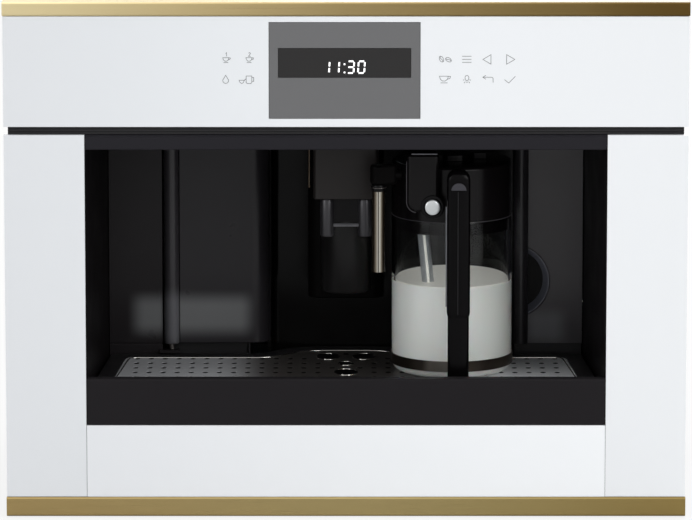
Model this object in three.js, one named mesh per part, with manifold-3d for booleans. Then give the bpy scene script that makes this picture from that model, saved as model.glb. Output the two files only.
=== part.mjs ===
// A built-in coffee machine for a 60 cm wide, 45 cm high kitchen niche, in millimetres.
// X runs to the right, Y into the cabinet and Z up. The origin is the centre of the footprint.
import * as THREE from 'three';
import { mergeVertices } from 'three/addons/utils/BufferGeometryUtils.js';
import Module from 'manifold-3d';

const wasm = await Module();
wasm.setup();

// ---- Overall size and clearances ----
const width = 595;
const height = 455;
const depth = 380;
const seat = 0.3;           // gap between pieces that touch
const running = 0.7;        // gap beside pieces that slide past each other
const floorGap = 1;         // lower bar above the shelf
const past = 1;             // how far a cutting tool reaches past a face
const skin = 0.01;          // the same for a cone, whose edge must stay in place

// ---- Front ----
const topTrimHeight = 12.1;
const bottomTrimHeight = 17;
const trimDepth = 22;
const trimRound = 1.2;
const glassThickness = 5.5;
const glassSetback = 1.2;
const glassInset = 0.5;     // outer edges of the glass inside the bars' ends
const frameThickness = 18;
const frameInset = 4;       // frame edge inside the bars' ends
const frameMouthGap = 1;    // frame behind the edge of the niche
const flangeRise = 0.5;     // strips that lie on the cabinet, behind the rest of the frame
const topGlassHeight = 96.6;
const shadowGap = 7.1;
const grooveHeight = 0.8;
const grooveDepth = 1.5;
const grooveShares = [0.3, 0.65];   // heights of the two grooves in the shadow gap
const nicheHalfWidth = 227;
const lintelHeight = 13;
const lintelBevel = 2.5;
const lintelLowerBevel = 1;
const stripHeight = 40.6;
const stripThickness = 12.8;
const stripBevel = 1.5;
const bottomGlassHeight = 63.8;

// ---- Display ----
const displayCentreX = -1.25;
const displayPanelWidth = 130.7;
const displayPanelHeight = 83.8;
const displayPanelBelowBar = 5.3;
const displayWindowWidth = 114.7;
const displayWindowHeight = 25.3;
const displayWindowDrop = 22.6;
const controlBoardWidth = 240;
const boardThickness = 1.6;
const chipSize = [30, 3, 20];

// ---- Niche ----
const nicheDepth = 190;
const nicheTaper = 12.5;    // side walls draw in towards the back
const nicheWall = 3;
const ceilingThickness = 2.5;
const ceilingMouthGap = 2;  // ceiling in front of the spout block
const recessHalfWidth = 68;
const recessDepth = 38;
const recessRound = 8;
const doorRound = 18;       // radius where the back curves inwards to the recess
const doorEndGap = 1;
const seamBelowDoor = 0.5;
const seamDepth = 0.8;

// ---- Casing, rails and tray ----
const casingHalfWidth = 264.3;
const casingWall = 1.8;
const casingBottom = 5;
const casingTopDrop = 51.3; // casing top under the front's upper edge
const casingBackGap = 4;    // casing back in front of the rear end of the tray
const plateThickness = 1.5;
const deckThickness = 2;
const railWidth = 5;
const railHeight = 20;
const railCentreZ = 34;
const railInset = 4;        // rail ends inside the casing length
const trayThickness = 2;
const traySideHeight = 60;
const trayFrontGap = 5;

// ---- Service door and bay ----
const barRadius = 6.8;
const barInset = 6.7;       // centre line of the pull bars inside the panels' edges
const panelThickness = 3;
const doorBottomRise = 9;   // lower edge of door and tank above the drip grid
const doorTopGap = 3.7;     // upper edge of door and tank under the niche ceiling
const hingePinRadius = 2.5;
const hingePinForward = 1;
const lugThickness = 2.6;
const lugOverlap = 3;
const lugSetback = 1;
const bayWidth = 74;
const bayBackGap = 23.9;    // bay in front of the casing back
const bayWall = 2;
const bayStart = 9;
const groundsFrontGap = 3;
const groundsBrewGap = 9.7;
const groundsHeight = 114;
const brewUnitDepth = 76;
const brewUnitTopGap = 29.8;
const brewUnitWidth = 58;
const brewChamberRadius = 22;
const brewChamberHeight = 34;

// ---- Water tank ----
const tankFrontThickness = 16;
const tankFrontWidth = 62.5;
const tankSideGap = 1;      // tank beside the niche wall
const tankInset = 1;
const tankBackGap = 33.6;   // tank in front of the casing back
const tankWall = 2;
const tankTopGap = 4.5;     // tank under the upper edge of its front
const tankSeatSetback = 1;
const fingerRadius = 33.9;
const fingerFloorRadius = 28;
const fingerDepth = 11;
const fingerAboveGrid = 65.9;

// ---- Drip tray ----
const gridThickness = 1.2;
const gridBelowStrip = 13;
const basinHeight = 26.3;
const basinFloor = 2;
const trayRim = 15;         // black rim around the grid
const gridFrontInset = 3;
const gridLedge = 4;
const traySideGap = 2.5;
const trayBackGap = 1.5;
const bulgeHalfWidth = 38;
const bulgeGap = 5;
const trayCorner = 12;
const shoulderHandle = 22;  // lengths that shape the curve from the side to the bulge
const bulgeHandle = 24;
const bulgeFlat = 14;
const holePitch = 12.8;
const holeWidth = 5;
const holeLength = 18;
const holeMargin = 9;
const bigHoleSize = [10.2, 14.5];   // half width and half length of the oval drain holes
const midHoleSize = [6.8, 9];
const bigHoleSpread = 16.1;
const bigHoleBack = 38;     // rear pair behind the middle hole
const bigHoleFront = 44;    // front hole before the middle hole
const drainCentreFromFront = 146;

// ---- Coffee spout ----
const housingHalfWidth = 34;
const housingFrontDepth = 150;
const housingLift = 57.5;   // underside of the housing above the grid
const housingRound = 12;
const guideRadius = 16.3;
const guideForward = 4;
const guideLift = 8;
const spoutHalfWidth = 29;
const spoutFrontDepth = 88;
const spoutBlockHeight = 50;
const spoutBlockTopGap = 8;
const spoutBackGap = 6;
const outletRadius = 6;
const outletSpread = 16.6;
const outletLength = 34;
const outletSetback = 12;
const outletDimple = 2;
const outletBore = 3.6;
const webThickness = 3;
const webLift = 5;
const webArch = 10.5;
const webArchLift = 2;

// ---- Milk jug ----
const jugX = 94.2;
const jugCentreDepth = 115;
const jugRadius = 53.4;
const jugWall = 2.4;
const jugFloor = 5;
const bandLift = 7;
const bandHeight = 9.5;
const bandThickness = 0.8;
const milkBelowRim = 58.2;
const lidHeight = 49.2;
const lidInset = 1.2;
const lidWall = 4;
const lidSkirt = 12.3;
const lidRoof = 6;
const socketOverlap = 3;    // nozzle socket into the hollow of the lid
const nozzleRadius = 8;
const nozzleBore = 4;
const nozzleReach = 36;
const nozzleTail = 24;
const nozzleLift = 26.5;    // nozzle above the jug's rim
const intakeRadius = 5.3;
const intakeLean = 0.0975;
const intakeForward = 20;
const intakeBore = 3.6;
const intakeX = 67;
const intakeFloorGap = 5;
const handleX = 98.6;
const handleHalfWidth = 9.6;
const handleFrontDepth = 30;
const handleThickness = 14;
const handleBottomLift = 4.2;
const handleTopGap = 22.8;   // top of the grip under the lintel
const handleArmHeight = 16;
const handleRound = 6;
const columnX = 67.8;
const columnHalfWidth = 14.3;
const columnFrontDepth = 51;
const columnDepth = 32;
const columnBottomLift = 11;
const columnTopRise = 14.5;
const columnTopGap = 10.4;  // top of the column under the lintel
const columnRound = 9;
const columnEdgeRound = 7;
const buttonX = 76;
const buttonLift = 16.2;
const buttonRadius = 6.7;
const buttonRing = 10.3;
const ringStandOut = 2;
const ringBackInset = 10;
const buttonTravel = 2;
const buttonStandOut = 2.6;
const buttonDepth = 6.7;
const regulatorRadius = 20;
const regulatorHeight = 5;
const regulatorLever = 30;
const leverWidth = 8;

// ---- Milk spout on the lid ----
const spoutPivotX = 47;
const spoutPivotDepth = 63;
const knuckleRadius = 6;
const milkSpoutX = 28.5;
const milkSpoutDepth = 59;
const milkTubeRadius = 6;
const milkTubeLength = 72.5;
const armRadius = 5.4;
const armAboveRim = 43;     // arm's centre line above the jug's rim
const elbowDrop = 13;
const elbowShare = 0.6;     // where the arm starts to bend down, along its way out
const elbowReach = 5;
const knuckleHeight = 15;
const bossHeight = 12;
const bossArmWidth = 8;

// ---- Inside; places along Y are behind the niche back ----
const hopperLeft = -118;
const hopperRight = 58;
const hopperFront = 15;
const hopperBack = 140;
const hopperDepth = 57;
const hopperWall = 2.5;
const hopperLip = 3;
const lidPlate = 3;
const lidHingeRadius = 3;
const grinderRadius = 38;
const grinderX = -10;
const grinderHeight = 82;
const boilerSize = [65, 90, 76];
const boilerStart = 52;
const boilerTankGap = 9;
const pumpSize = [82, 62, 44];
const pumpStart = [100, 40];
const powerBoardSize = [180, 150];
const powerBoardStart = [-60, 120];
const transformerSize = [25.6, 50, 44];
const knobRadius = 14;
const knobHeight = 9;
const knobX = 92;
const knobY = 80;
const inletSize = [32, 28, 24];
const inletX = 206;
const inletZ = 112;
const inletStandOut = 2;
const inletRecess = 16;
const inletWall = 5;
const switchX = 169;
const switchWidth = 17;
const switchHeight = 20;
const switchThickness = 8;
const switchTilt = 6;       // degrees

// ---- Solids from three.js geometry ----
function toSolid(geometry) {
  const bare = geometry.clone();
  bare.deleteAttribute('normal');
  bare.deleteAttribute('uv');
  const merged = mergeVertices(bare, 1e-4);
  const corners = merged.index.array;
  const kept = [];
  for (let i = 0; i < corners.length; i += 3) {
    const [a, b, c] = [corners[i], corners[i + 1], corners[i + 2]];
    if (a !== b && b !== c && c !== a) kept.push(a, b, c);
  }
  return new wasm.Manifold(new wasm.Mesh({
    numProp: 3,
    vertProperties: new Float32Array(merged.attributes.position.array),
    triVerts: new Uint32Array(kept),
  }));
}

function toGeometry(solid) {
  const mesh = solid.getMesh();
  const geometry = new THREE.BufferGeometry();
  geometry.setAttribute('position', new THREE.BufferAttribute(new Float32Array(mesh.vertProperties), 3));
  geometry.setIndex(new THREE.BufferAttribute(new Uint32Array(mesh.triVerts), 1));
  geometry.computeVertexNormals();
  return geometry;
}

const join = (first, ...others) => others.reduce((whole, other) => whole.add(other), first);
const cut = (first, ...tools) => tools.reduce((rest, tool) => rest.subtract(tool), first);
const centred = (middle, size) => [middle - size / 2, middle + size / 2];

function block(x, y, z) {
  const geometry = new THREE.BoxGeometry(x[1] - x[0], y[1] - y[0], z[1] - z[0]);
  geometry.translate((x[0] + x[1]) / 2, (y[0] + y[1]) / 2, (z[0] + z[1]) / 2);
  return toSolid(geometry);
}

function extrude(shape, length, curveSegments = 6) {
  return new THREE.ExtrudeGeometry(shape, { depth: length, bevelEnabled: false, curveSegments });
}

// A shape drawn in (x, y), raised between two heights.
function prismZ(shape, z, curveSegments) {
  return toSolid(extrude(shape, z[1] - z[0], curveSegments).translate(0, 0, z[0]));
}

// A shape drawn in (x, z), running from front to back.
function prismY(shape, y, curveSegments) {
  return toSolid(extrude(shape, y[1] - y[0], curveSegments).rotateX(Math.PI / 2).translate(0, y[1], 0));
}

// A shape drawn in (y, z), running from left to right.
function prismX(shape, x, curveSegments) {
  const turn = new THREE.Matrix4().makeBasis(
    new THREE.Vector3(0, 1, 0), new THREE.Vector3(0, 0, 1), new THREE.Vector3(1, 0, 0));
  return toSolid(extrude(shape, x[1] - x[0], curveSegments).applyMatrix4(turn).translate(x[0], 0, 0));
}

function polygon(points) {
  return new THREE.Shape(points.map(([a, b]) => new THREE.Vector2(a, b)));
}

function roundedRectangle(across, up, radius) {
  const shape = new THREE.Shape();
  shape.moveTo(across[0] + radius, up[0]);
  shape.lineTo(across[1] - radius, up[0]);
  shape.absarc(across[1] - radius, up[0] + radius, radius, -Math.PI / 2, 0);
  shape.lineTo(across[1], up[1] - radius);
  shape.absarc(across[1] - radius, up[1] - radius, radius, 0, Math.PI / 2);
  shape.lineTo(across[0] + radius, up[1]);
  shape.absarc(across[0] + radius, up[1] - radius, radius, Math.PI / 2, Math.PI);
  shape.lineTo(across[0], up[0] + radius);
  shape.absarc(across[0] + radius, up[0] + radius, radius, Math.PI, Math.PI * 1.5);
  return shape;
}

function rodZ(radius, centre, z, sides = 24) {
  const geometry = new THREE.CylinderGeometry(radius, radius, z[1] - z[0], sides);
  return toSolid(geometry.rotateX(Math.PI / 2).translate(centre[0], centre[1], (z[0] + z[1]) / 2));
}

// A rod or cone from front to back; the centre is given in (x, z).
function rodY(radius, centre, y, sides = 24, backRadius = radius) {
  const geometry = new THREE.CylinderGeometry(backRadius, radius, y[1] - y[0], sides);
  return toSolid(geometry.translate(centre[0], (y[0] + y[1]) / 2, centre[1]));
}

// A rod from left to right; the centre is given in (y, z).
function rodX(radius, centre, x, sides = 16) {
  const geometry = new THREE.CylinderGeometry(radius, radius, x[1] - x[0], sides);
  return toSolid(geometry.rotateZ(Math.PI / 2).translate((x[0] + x[1]) / 2, centre[0], centre[1]));
}

// A profile of (radius, height) turned about a vertical axis.
function turned(profile, centre, sides = 32) {
  const points = profile.map(([radius, z]) => new THREE.Vector2(radius, z));
  const geometry = new THREE.LatheGeometry(points, sides).rotateX(Math.PI / 2);
  return toSolid(geometry.translate(centre[0], centre[1], 0));
}

// A round tube along a list of points, with straight runs and short bends.
function tubeAlong(points, radius, steps = 12, sides = 10) {
  const path = new THREE.CatmullRomCurve3(points.map((p) => new THREE.Vector3(...p)), false, 'centripetal');
  const ring = [];
  for (let i = 0; i < sides; i += 1) {
    const angle = (i / sides) * Math.PI * 2;
    ring.push([radius * Math.cos(angle), radius * Math.sin(angle)]);
  }
  return toSolid(new THREE.ExtrudeGeometry(polygon(ring), { steps, extrudePath: path, bevelEnabled: false }));
}

// ---- Finishes ----
function finish(color, roughness, metalness, opacity = 1) {
  return new THREE.MeshStandardMaterial({ color, roughness, metalness, opacity, transparent: opacity < 1 });
}

const gold = finish(0xb39a60, 0.3, 1);
const whiteGlass = finish(0xe9edf0, 0.12, 0);
const greyPanel = finish(0x727274, 0.35, 0);
const displayBlack = finish(0x232326, 0.1, 0);
const blackPlastic = finish(0x1c1b1d, 0.32, 0);
const glossBlack = finish(0x141316, 0.12, 0);
const darkMetal = finish(0x3b3a3a, 0.35, 0.7);
const steel = finish(0xb9b8b5, 0.22, 1);
const zinc = finish(0x9a9ca0, 0.45, 1);
const clearGlass = finish(0xe8eeee, 0.03, 0, 0.3);
const smokedClear = finish(0xb9c2c4, 0.1, 0, 0.5);
const milkWhite = finish(0xece9e0, 0.4, 0);
const circuitGreen = finish(0x27633f, 0.6, 0);
const copper = finish(0xb0744a, 0.4, 1);
const silverPlastic = finish(0xc9cccd, 0.3, 0.6);

const model = new THREE.Group();

function piece(name, solid, material) {
  const mesh = new THREE.Mesh(toGeometry(solid), material);
  mesh.name = name;
  model.add(mesh);
  return mesh;
}

// ---- Levels and planes worked out from the sizes above ----
const frontY = -depth / 2;
const backY = depth / 2;
const halfWidth = width / 2;
const glassFrontY = frontY + glassSetback;
const glassBackY = glassFrontY + glassThickness;
const frameFrontY = glassBackY + seat;
const frameBackY = frameFrontY + frameThickness;
const behindFrameY = frameBackY + seat;

const bottomTrimTop = floorGap + bottomTrimHeight;
const bottomGlassTop = bottomTrimTop + seat + bottomGlassHeight;
const stripBottom = bottomGlassTop + running;
const stripTop = stripBottom + stripHeight;
const topTrimBottom = height - topTrimHeight;
const topGlassTop = topTrimBottom - seat;
const topGlassBottom = topGlassTop - topGlassHeight;
const nicheTop = topGlassBottom - shadowGap;
const lintelBottom = nicheTop - seat - lintelHeight;
const gridTop = stripTop - gridBelowStrip;

const basinBottom = gridTop - basinHeight - seat;
const deckTop = basinBottom - seat;
const deckBottom = deckTop - deckThickness;
const onDeck = deckTop + seat;
const ceilingBottom = lintelBottom + seat;
const wallTop = ceilingBottom - seat;
const nicheBackY = frontY + nicheDepth;
const nicheBackHalfWidth = nicheHalfWidth - nicheTaper;
const casingTop = height - casingTopDrop;
const casingBackY = backY - casingBackGap;
const casingInnerX = casingHalfWidth - casingWall;
const insideX = casingInnerX - seat;
const insideBackY = casingBackY - casingWall - seat;
const frameHalfWidth = halfWidth - frameInset;
const panelBottom = gridTop + doorBottomRise;
const panelTop = wallTop - doorTopGap;
const tankRight = nicheBackHalfWidth - tankSideGap;
const tankLeft = tankRight - tankFrontWidth;
const barCentreX = tankLeft + barInset;
const hopperFrontY = nicheBackY + hopperFront;
const hopperBackY = nicheBackY + hopperBack;

// ---- Fixed mounting tray with the telescopic rails ----
function buildMounting() {
  const trayFrontY = frameBackY + trayFrontGap;
  const outerRailX = casingHalfWidth + 3 * seat + 2 * railWidth;
  const sideX = outerRailX + railWidth;
  const traySide = sideX + trayThickness;
  const rail = (x, heightUp, y) => block(x, y, centred(railCentreZ, heightUp));
  const railY = [behindFrameY + railInset, casingBackY - railInset];
  let tray = block([-traySide, traySide], [trayFrontY, backY], [0, trayThickness]);
  for (const side of [-1, 1]) {
    const between = (a, b) => [side * a, side * b].sort((p, q) => p - q);
    const wall = block(between(sideX, traySide), [trayFrontY, backY], [0, traySideHeight]);
    const outer = rail(between(outerRailX, sideX), railHeight + railWidth, [trayFrontY, casingBackY]);
    tray = join(tray, wall, outer);
    const word = side < 0 ? 'left' : 'right';
    const middleX = casingHalfWidth + 2 * seat + railWidth;
    piece(`rail_middle_${word}`, rail(between(middleX, middleX + railWidth), railHeight, railY), zinc);
    const innerX = casingHalfWidth + seat;
    piece(`rail_inner_${word}`, rail(between(innerX, innerX + railWidth), railHeight - railWidth, railY), zinc);
  }
  piece('mounting_tray', tray, zinc);
}

// ---- Sheet casing: a wrap of sides and back, a top and a bottom ----
function buildCasing() {
  const outer = block([-casingHalfWidth, casingHalfWidth], [behindFrameY, casingBackY],
    [casingBottom, casingTop]);
  const inner = block([-casingInnerX, casingInnerX], [frontY, casingBackY - casingWall], [0, height]);
  const inletHole = block(centred(inletX, inletSize[0] + 2 * seat), [insideBackY - past, backY],
    centred(inletZ, inletSize[2] + 2 * seat));
  const switchHole = block(centred(switchX, switchWidth + 2 * running), [insideBackY - past, backY],
    centred(inletZ, switchHeight + 4 * running));
  piece('casing_wrap', cut(outer, inner, inletHole, switchHole), zinc);

  const sheet = (z) => block([-insideX, insideX], [behindFrameY, insideBackY], z);
  const topZ = [casingTop - plateThickness, casingTop];
  const hopperMouth = block([hopperLeft + hopperWall, hopperRight - hopperWall],
    [hopperFrontY + hopperWall, hopperBackY - hopperWall], [topZ[0] - past, topZ[1] + past]);
  piece('casing_top', cut(sheet(topZ), hopperMouth), zinc);
  piece('casing_bottom', sheet([casingBottom, casingBottom + plateThickness]), zinc);
  piece('inner_deck', sheet([deckBottom, deckTop]), blackPlastic);
}

// ---- Front: frame, gold bars, glass panels and lintel ----
function trimBar(z) {
  const y = [frontY, frontY + trimDepth];
  const shape = polygon([
    [y[0] + trimRound, z[0]], [y[1], z[0]], [y[1], z[1]], [y[0] + trimRound, z[1]],
    [y[0], z[1] - trimRound], [y[0], z[0] + trimRound],
  ]);
  return prismX(shape, [-halfWidth, halfWidth]);
}

function buildFront() {
  const frameOuter = block([-frameHalfWidth, frameHalfWidth], [frameFrontY, frameBackY],
    [bottomTrimTop + seat, topGlassTop]);
  const mouthHalf = nicheHalfWidth + frameMouthGap;
  const mouth = block([-mouthHalf, mouthHalf], [frontY, behindFrameY], [bottomGlassTop + seat, nicheTop]);
  const grooveY = [frontY, frameFrontY + grooveDepth];
  const grooves = grooveShares.map((share) => block([-halfWidth, halfWidth], grooveY,
    centred(nicheTop + share * shadowGap, grooveHeight)));
  const flangeX = [casingHalfWidth + 2 * seat, frameHalfWidth];
  const flangeY = [frameFrontY, frameBackY + flangeRise];
  const flangeZ = [bottomTrimTop + seat, topGlassTop];
  const flanges = [block(flangeX, flangeY, flangeZ), block([-flangeX[1], -flangeX[0]], flangeY, flangeZ)];
  piece('front_frame', cut(join(frameOuter, ...flanges), mouth, ...grooves), blackPlastic);
  piece('top_trim', trimBar([topTrimBottom, height]), gold);
  piece('bottom_trim', trimBar([floorGap, bottomTrimTop]), gold);

  const glassY = [glassFrontY, glassBackY];
  const displayHole = displayOutline(displayPanelWidth + 2 * seat, displayPanelHeight + 2 * seat,
    displayPanelTop() + seat);
  const glassHalf = halfWidth - glassInset;
  const topGlass = block([-glassHalf, glassHalf], glassY, [topGlassBottom, topGlassTop]);
  piece('top_glass', cut(topGlass, prismY(displayHole, [frontY, behindFrameY])), whiteGlass);
  const sideZ = [bottomTrimTop + seat, nicheTop];
  piece('left_glass', block([-glassHalf, -nicheHalfWidth], glassY, sideZ), whiteGlass);
  piece('right_glass', block([nicheHalfWidth, glassHalf], glassY, sideZ), whiteGlass);
  const bottomHalf = nicheHalfWidth - seat;
  piece('bottom_glass', block([-bottomHalf, bottomHalf], glassY, [bottomTrimTop + seat, bottomGlassTop]),
    whiteGlass);

  const lintelZ = [lintelBottom, nicheTop - seat];
  const lintelY = [glassFrontY + glassSetback, frameBackY];
  const profile = polygon([
    [lintelY[0], lintelZ[0] + lintelLowerBevel], [lintelY[0] + lintelLowerBevel, lintelZ[0]],
    [lintelY[1], lintelZ[0]], [lintelY[1], lintelZ[1]],
    [lintelY[0] + lintelBevel, lintelZ[1]], [lintelY[0], lintelZ[1] - lintelBevel],
  ]);
  piece('lintel', prismX(profile, [-bottomHalf, bottomHalf]), blackPlastic);
}

// ---- Display in the top glass ----
function displayPanelTop() {
  return topGlassTop - displayPanelBelowBar;
}

function displayOutline(across, up, top) {
  return polygon([
    [displayCentreX - across / 2, top - up], [displayCentreX + across / 2, top - up],
    [displayCentreX + across / 2, top], [displayCentreX - across / 2, top],
  ]);
}

function buildDisplay() {
  const glassY = [glassFrontY, glassBackY];
  const windowTop = displayPanelTop() - displayWindowDrop;
  const panel = prismY(displayOutline(displayPanelWidth, displayPanelHeight, displayPanelTop()), glassY);
  const hole = displayOutline(displayWindowWidth + 2 * seat, displayWindowHeight + 2 * seat, windowTop + seat);
  piece('display_panel', cut(panel, prismY(hole, [frontY, frameFrontY])), greyPanel);
  const windowShape = displayOutline(displayWindowWidth, displayWindowHeight, windowTop);
  piece('display_window', prismY(windowShape, glassY), displayBlack);
  const boardTop = casingTop - plateThickness - seat;
  const boardBottom = nicheTop + shadowGap;
  const boardY = [behindFrameY, behindFrameY + boardThickness];
  const board = block(centred(displayCentreX, controlBoardWidth), boardY, [boardBottom, boardTop]);
  const chip = block(centred(displayCentreX, chipSize[0]), [boardY[0], boardY[1] + chipSize[1]],
    centred((boardBottom + boardTop) / 2, chipSize[2]));
  piece('control_board', join(board, chip), circuitGreen);
}

// ---- Niche: side walls, ceiling, back with its central recess, left back panel ----
function nicheWallX(y) {
  const slope = (nicheHalfWidth - nicheBackHalfWidth) / (nicheBackY - behindFrameY);
  return nicheHalfWidth - slope * (y - behindFrameY);
}

function buildNiche() {
  const endY = nicheBackY + nicheWall;
  for (const side of [-1, 1]) {
    const corners = [
      [nicheWallX(behindFrameY), behindFrameY], [nicheWallX(behindFrameY) + nicheWall, behindFrameY],
      [nicheWallX(endY) + nicheWall, endY], [nicheWallX(endY), endY],
    ];
    const shape = polygon(corners.map(([x, y]) => [side * x, y]));
    piece(side < 0 ? 'niche_wall_left' : 'niche_wall_right', prismZ(shape, [onDeck, wallTop]), glossBlack);
  }
  const spoutMouth = block([-housingHalfWidth - seat, housingHalfWidth + seat],
    [frontY + spoutFrontDepth - ceilingMouthGap, backY], [0, height]);
  const ceiling = block([-nicheHalfWidth, nicheHalfWidth], [behindFrameY, nicheBackY + recessDepth],
    [ceilingBottom, ceilingBottom + ceilingThickness]);
  piece('niche_ceiling', cut(ceiling, spoutMouth), blackPlastic);
  buildBack();

  const panelRight = -(barCentreX + barRadius + 2 * running);
  const panelX = [-nicheWallX(endY) + seat, panelRight];
  const panelY = [nicheBackY, nicheBackY + panelThickness];
  const seam = block([-halfWidth, 0], [nicheBackY - past, nicheBackY + seamDepth],
    centred(panelBottom - seamBelowDoor, grooveHeight));
  const lug = block([panelRight - lugOverlap, -barCentreX + barRadius],
    [nicheBackY - barRadius + lugSetback, panelY[1]],
    [gridTop + running, gridTop + running + lugThickness]);
  piece('back_panel_left', join(cut(block(panelX, panelY, [onDeck, wallTop]), seam), lug), glossBlack);
}

// The band behind the spout: a recess with round corners, then the flat right side behind the jug.
function buildBack() {
  const shape = new THREE.Shape();
  const curveX = recessHalfWidth + doorRound;
  const recessY = nicheBackY + recessDepth;
  const outerRound = recessRound + nicheWall;
  const t = nicheWall;
  const rightEnd = tankLeft - running;
  const startY = nicheBackY + doorRound + doorEndGap;
  const inner = recessHalfWidth - recessRound;
  shape.moveTo(-recessHalfWidth, startY);
  shape.lineTo(-recessHalfWidth, recessY - recessRound);
  shape.absarc(-inner, recessY - recessRound, recessRound, Math.PI, Math.PI / 2, true);
  shape.lineTo(inner, recessY);
  shape.absarc(inner, recessY - recessRound, recessRound, Math.PI / 2, 0, true);
  shape.lineTo(recessHalfWidth, nicheBackY + doorRound);
  shape.absarc(curveX, nicheBackY + doorRound, doorRound, Math.PI, Math.PI * 1.5);
  shape.lineTo(rightEnd, nicheBackY);
  shape.lineTo(rightEnd, nicheBackY + t);
  shape.lineTo(curveX, nicheBackY + t);
  shape.absarc(curveX, nicheBackY + doorRound, doorRound - t, Math.PI * 1.5, Math.PI, true);
  shape.lineTo(recessHalfWidth + t, recessY - recessRound);
  shape.absarc(inner, recessY - recessRound, outerRound, 0, Math.PI / 2);
  shape.lineTo(-inner, recessY + t);
  shape.absarc(-inner, recessY - recessRound, outerRound, Math.PI / 2, Math.PI);
  shape.lineTo(-recessHalfWidth - t, startY);
  const nozzleHole = rodY(nozzleRadius + seat, [jugX, nozzleZ()],
    [nicheBackY - past, nicheBackY + t + past], 20);
  piece('niche_back', cut(prismZ(shape, [onDeck, wallTop], 5), nozzleHole), glossBlack);
}

// ---- Service door on the left bar, with the bay behind it ----
function buildServiceDoor() {
  const start = -barCentreX + barRadius + seat;
  const curveX = -recessHalfWidth - doorRound;
  const t = panelThickness;
  const leaf = new THREE.Shape();
  leaf.moveTo(start, nicheBackY);
  leaf.lineTo(curveX, nicheBackY);
  leaf.absarc(curveX, nicheBackY + doorRound, doorRound - seat, -Math.PI / 2, 0);
  leaf.lineTo(-recessHalfWidth - t, nicheBackY + doorRound);
  leaf.absarc(curveX, nicheBackY + doorRound, doorRound - t, 0, -Math.PI / 2, true);
  leaf.lineTo(start, nicheBackY + t);
  piece('service_door', prismZ(leaf, [panelBottom, panelTop], 6), glossBlack);

  const bar = prismZ(halfRound(-barCentreX, nicheBackY), [panelBottom, panelTop], 10);
  const pinZ = [gridTop + running + lugThickness + seat, wallTop];
  const pin = rodZ(hingePinRadius, [-barCentreX, nicheBackY - hingePinForward], pinZ, 12);
  piece('hinge_bar', join(bar, pin), glossBlack);

  const bayX = [-recessHalfWidth - doorRound - running - bayWidth, -recessHalfWidth - doorRound - running];
  const bayY = [nicheBackY + bayStart, insideBackY - bayBackGap];
  const hollow = block([bayX[0] + bayWall, bayX[1] - bayWall], [bayY[0] - past, bayY[1] - bayWall],
    [onDeck + bayWall, panelTop - bayWall]);
  piece('service_bay', cut(block(bayX, bayY, [onDeck, panelTop]), hollow), blackPlastic);

  const bayMiddle = (bayX[0] + bayX[1]) / 2;
  const floorZ = onDeck + bayWall + seat;
  const groundsX = [bayX[0] + bayWall + seat, bayX[1] - bayWall - seat];
  const brewY = [bayY[1] - bayWall - seat - brewUnitDepth, bayY[1] - bayWall - seat];
  const groundsY = [bayY[0] + groundsFrontGap, brewY[0] - groundsBrewGap];
  const groundsZ = [floorZ, floorZ + groundsHeight];
  const groundsHollow = block([groundsX[0] + bayWall, groundsX[1] - bayWall],
    [groundsY[0] + bayWall, groundsY[1] - bayWall], [floorZ + bayWall, groundsZ[1] + past]);
  piece('grounds_container', cut(block(groundsX, groundsY, groundsZ), groundsHollow), blackPlastic);

  const brewZ = [floorZ, panelTop - bayWall - brewUnitTopGap - brewChamberHeight];
  const body = block(centred(bayMiddle, brewUnitWidth), brewY, brewZ);
  const chamber = rodZ(brewChamberRadius, [bayMiddle, (brewY[0] + brewY[1]) / 2],
    [brewZ[1] - past, brewZ[1] + brewChamberHeight], 20);
  piece('brew_unit', join(body, chamber), darkMetal);
}

// A bar that is round towards the viewer and flat behind.
function halfRound(x, y) {
  const shape = new THREE.Shape();
  shape.moveTo(x - barRadius, y);
  shape.absarc(x, y, barRadius, Math.PI, Math.PI * 2);
  shape.lineTo(x + barRadius, y + running);
  shape.lineTo(x - barRadius, y + running);
  return shape;
}

// ---- Water tank with its front, pull bar and finger recess ----
function buildWaterTank() {
  const frontX = [tankLeft, tankRight];
  const frontZ = [panelBottom, panelTop];
  const fingerX = barCentreX - barRadius;
  const fingerZ = gridTop + fingerAboveGrid;
  const plate = block(frontX, [nicheBackY, nicheBackY + tankFrontThickness], frontZ);
  const recess = rodY(fingerRadius, [fingerX, fingerZ], [nicheBackY - skin, nicheBackY + fingerDepth], 40,
    fingerFloorRadius);
  piece('tank_front', cut(plate, recess), glossBlack);
  const barY = nicheBackY - seat - running;
  piece('tank_bar', prismZ(halfRound(barCentreX, barY), frontZ, 10), glossBlack);

  const tankX = [tankLeft + tankInset, tankRight];
  const tankY = [nicheBackY + tankFrontThickness + seat, insideBackY - tankBackGap];
  const tankZ = [panelBottom, panelTop - tankTopGap];
  const water = block([tankX[0] + tankWall, tankX[1] - tankWall], [tankY[0] + tankWall, tankY[1] - tankWall],
    [tankZ[0] + tankWall, tankZ[1] + past]);
  piece('water_tank', cut(block(tankX, tankY, tankZ), water), smokedClear);
  const tankSeatY = [nicheBackY + nicheWall + tankSeatSetback, tankY[1]];
  piece('tank_seat', block(tankX, tankSeatY, [onDeck, panelBottom - seat]), blackPlastic);
}

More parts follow.
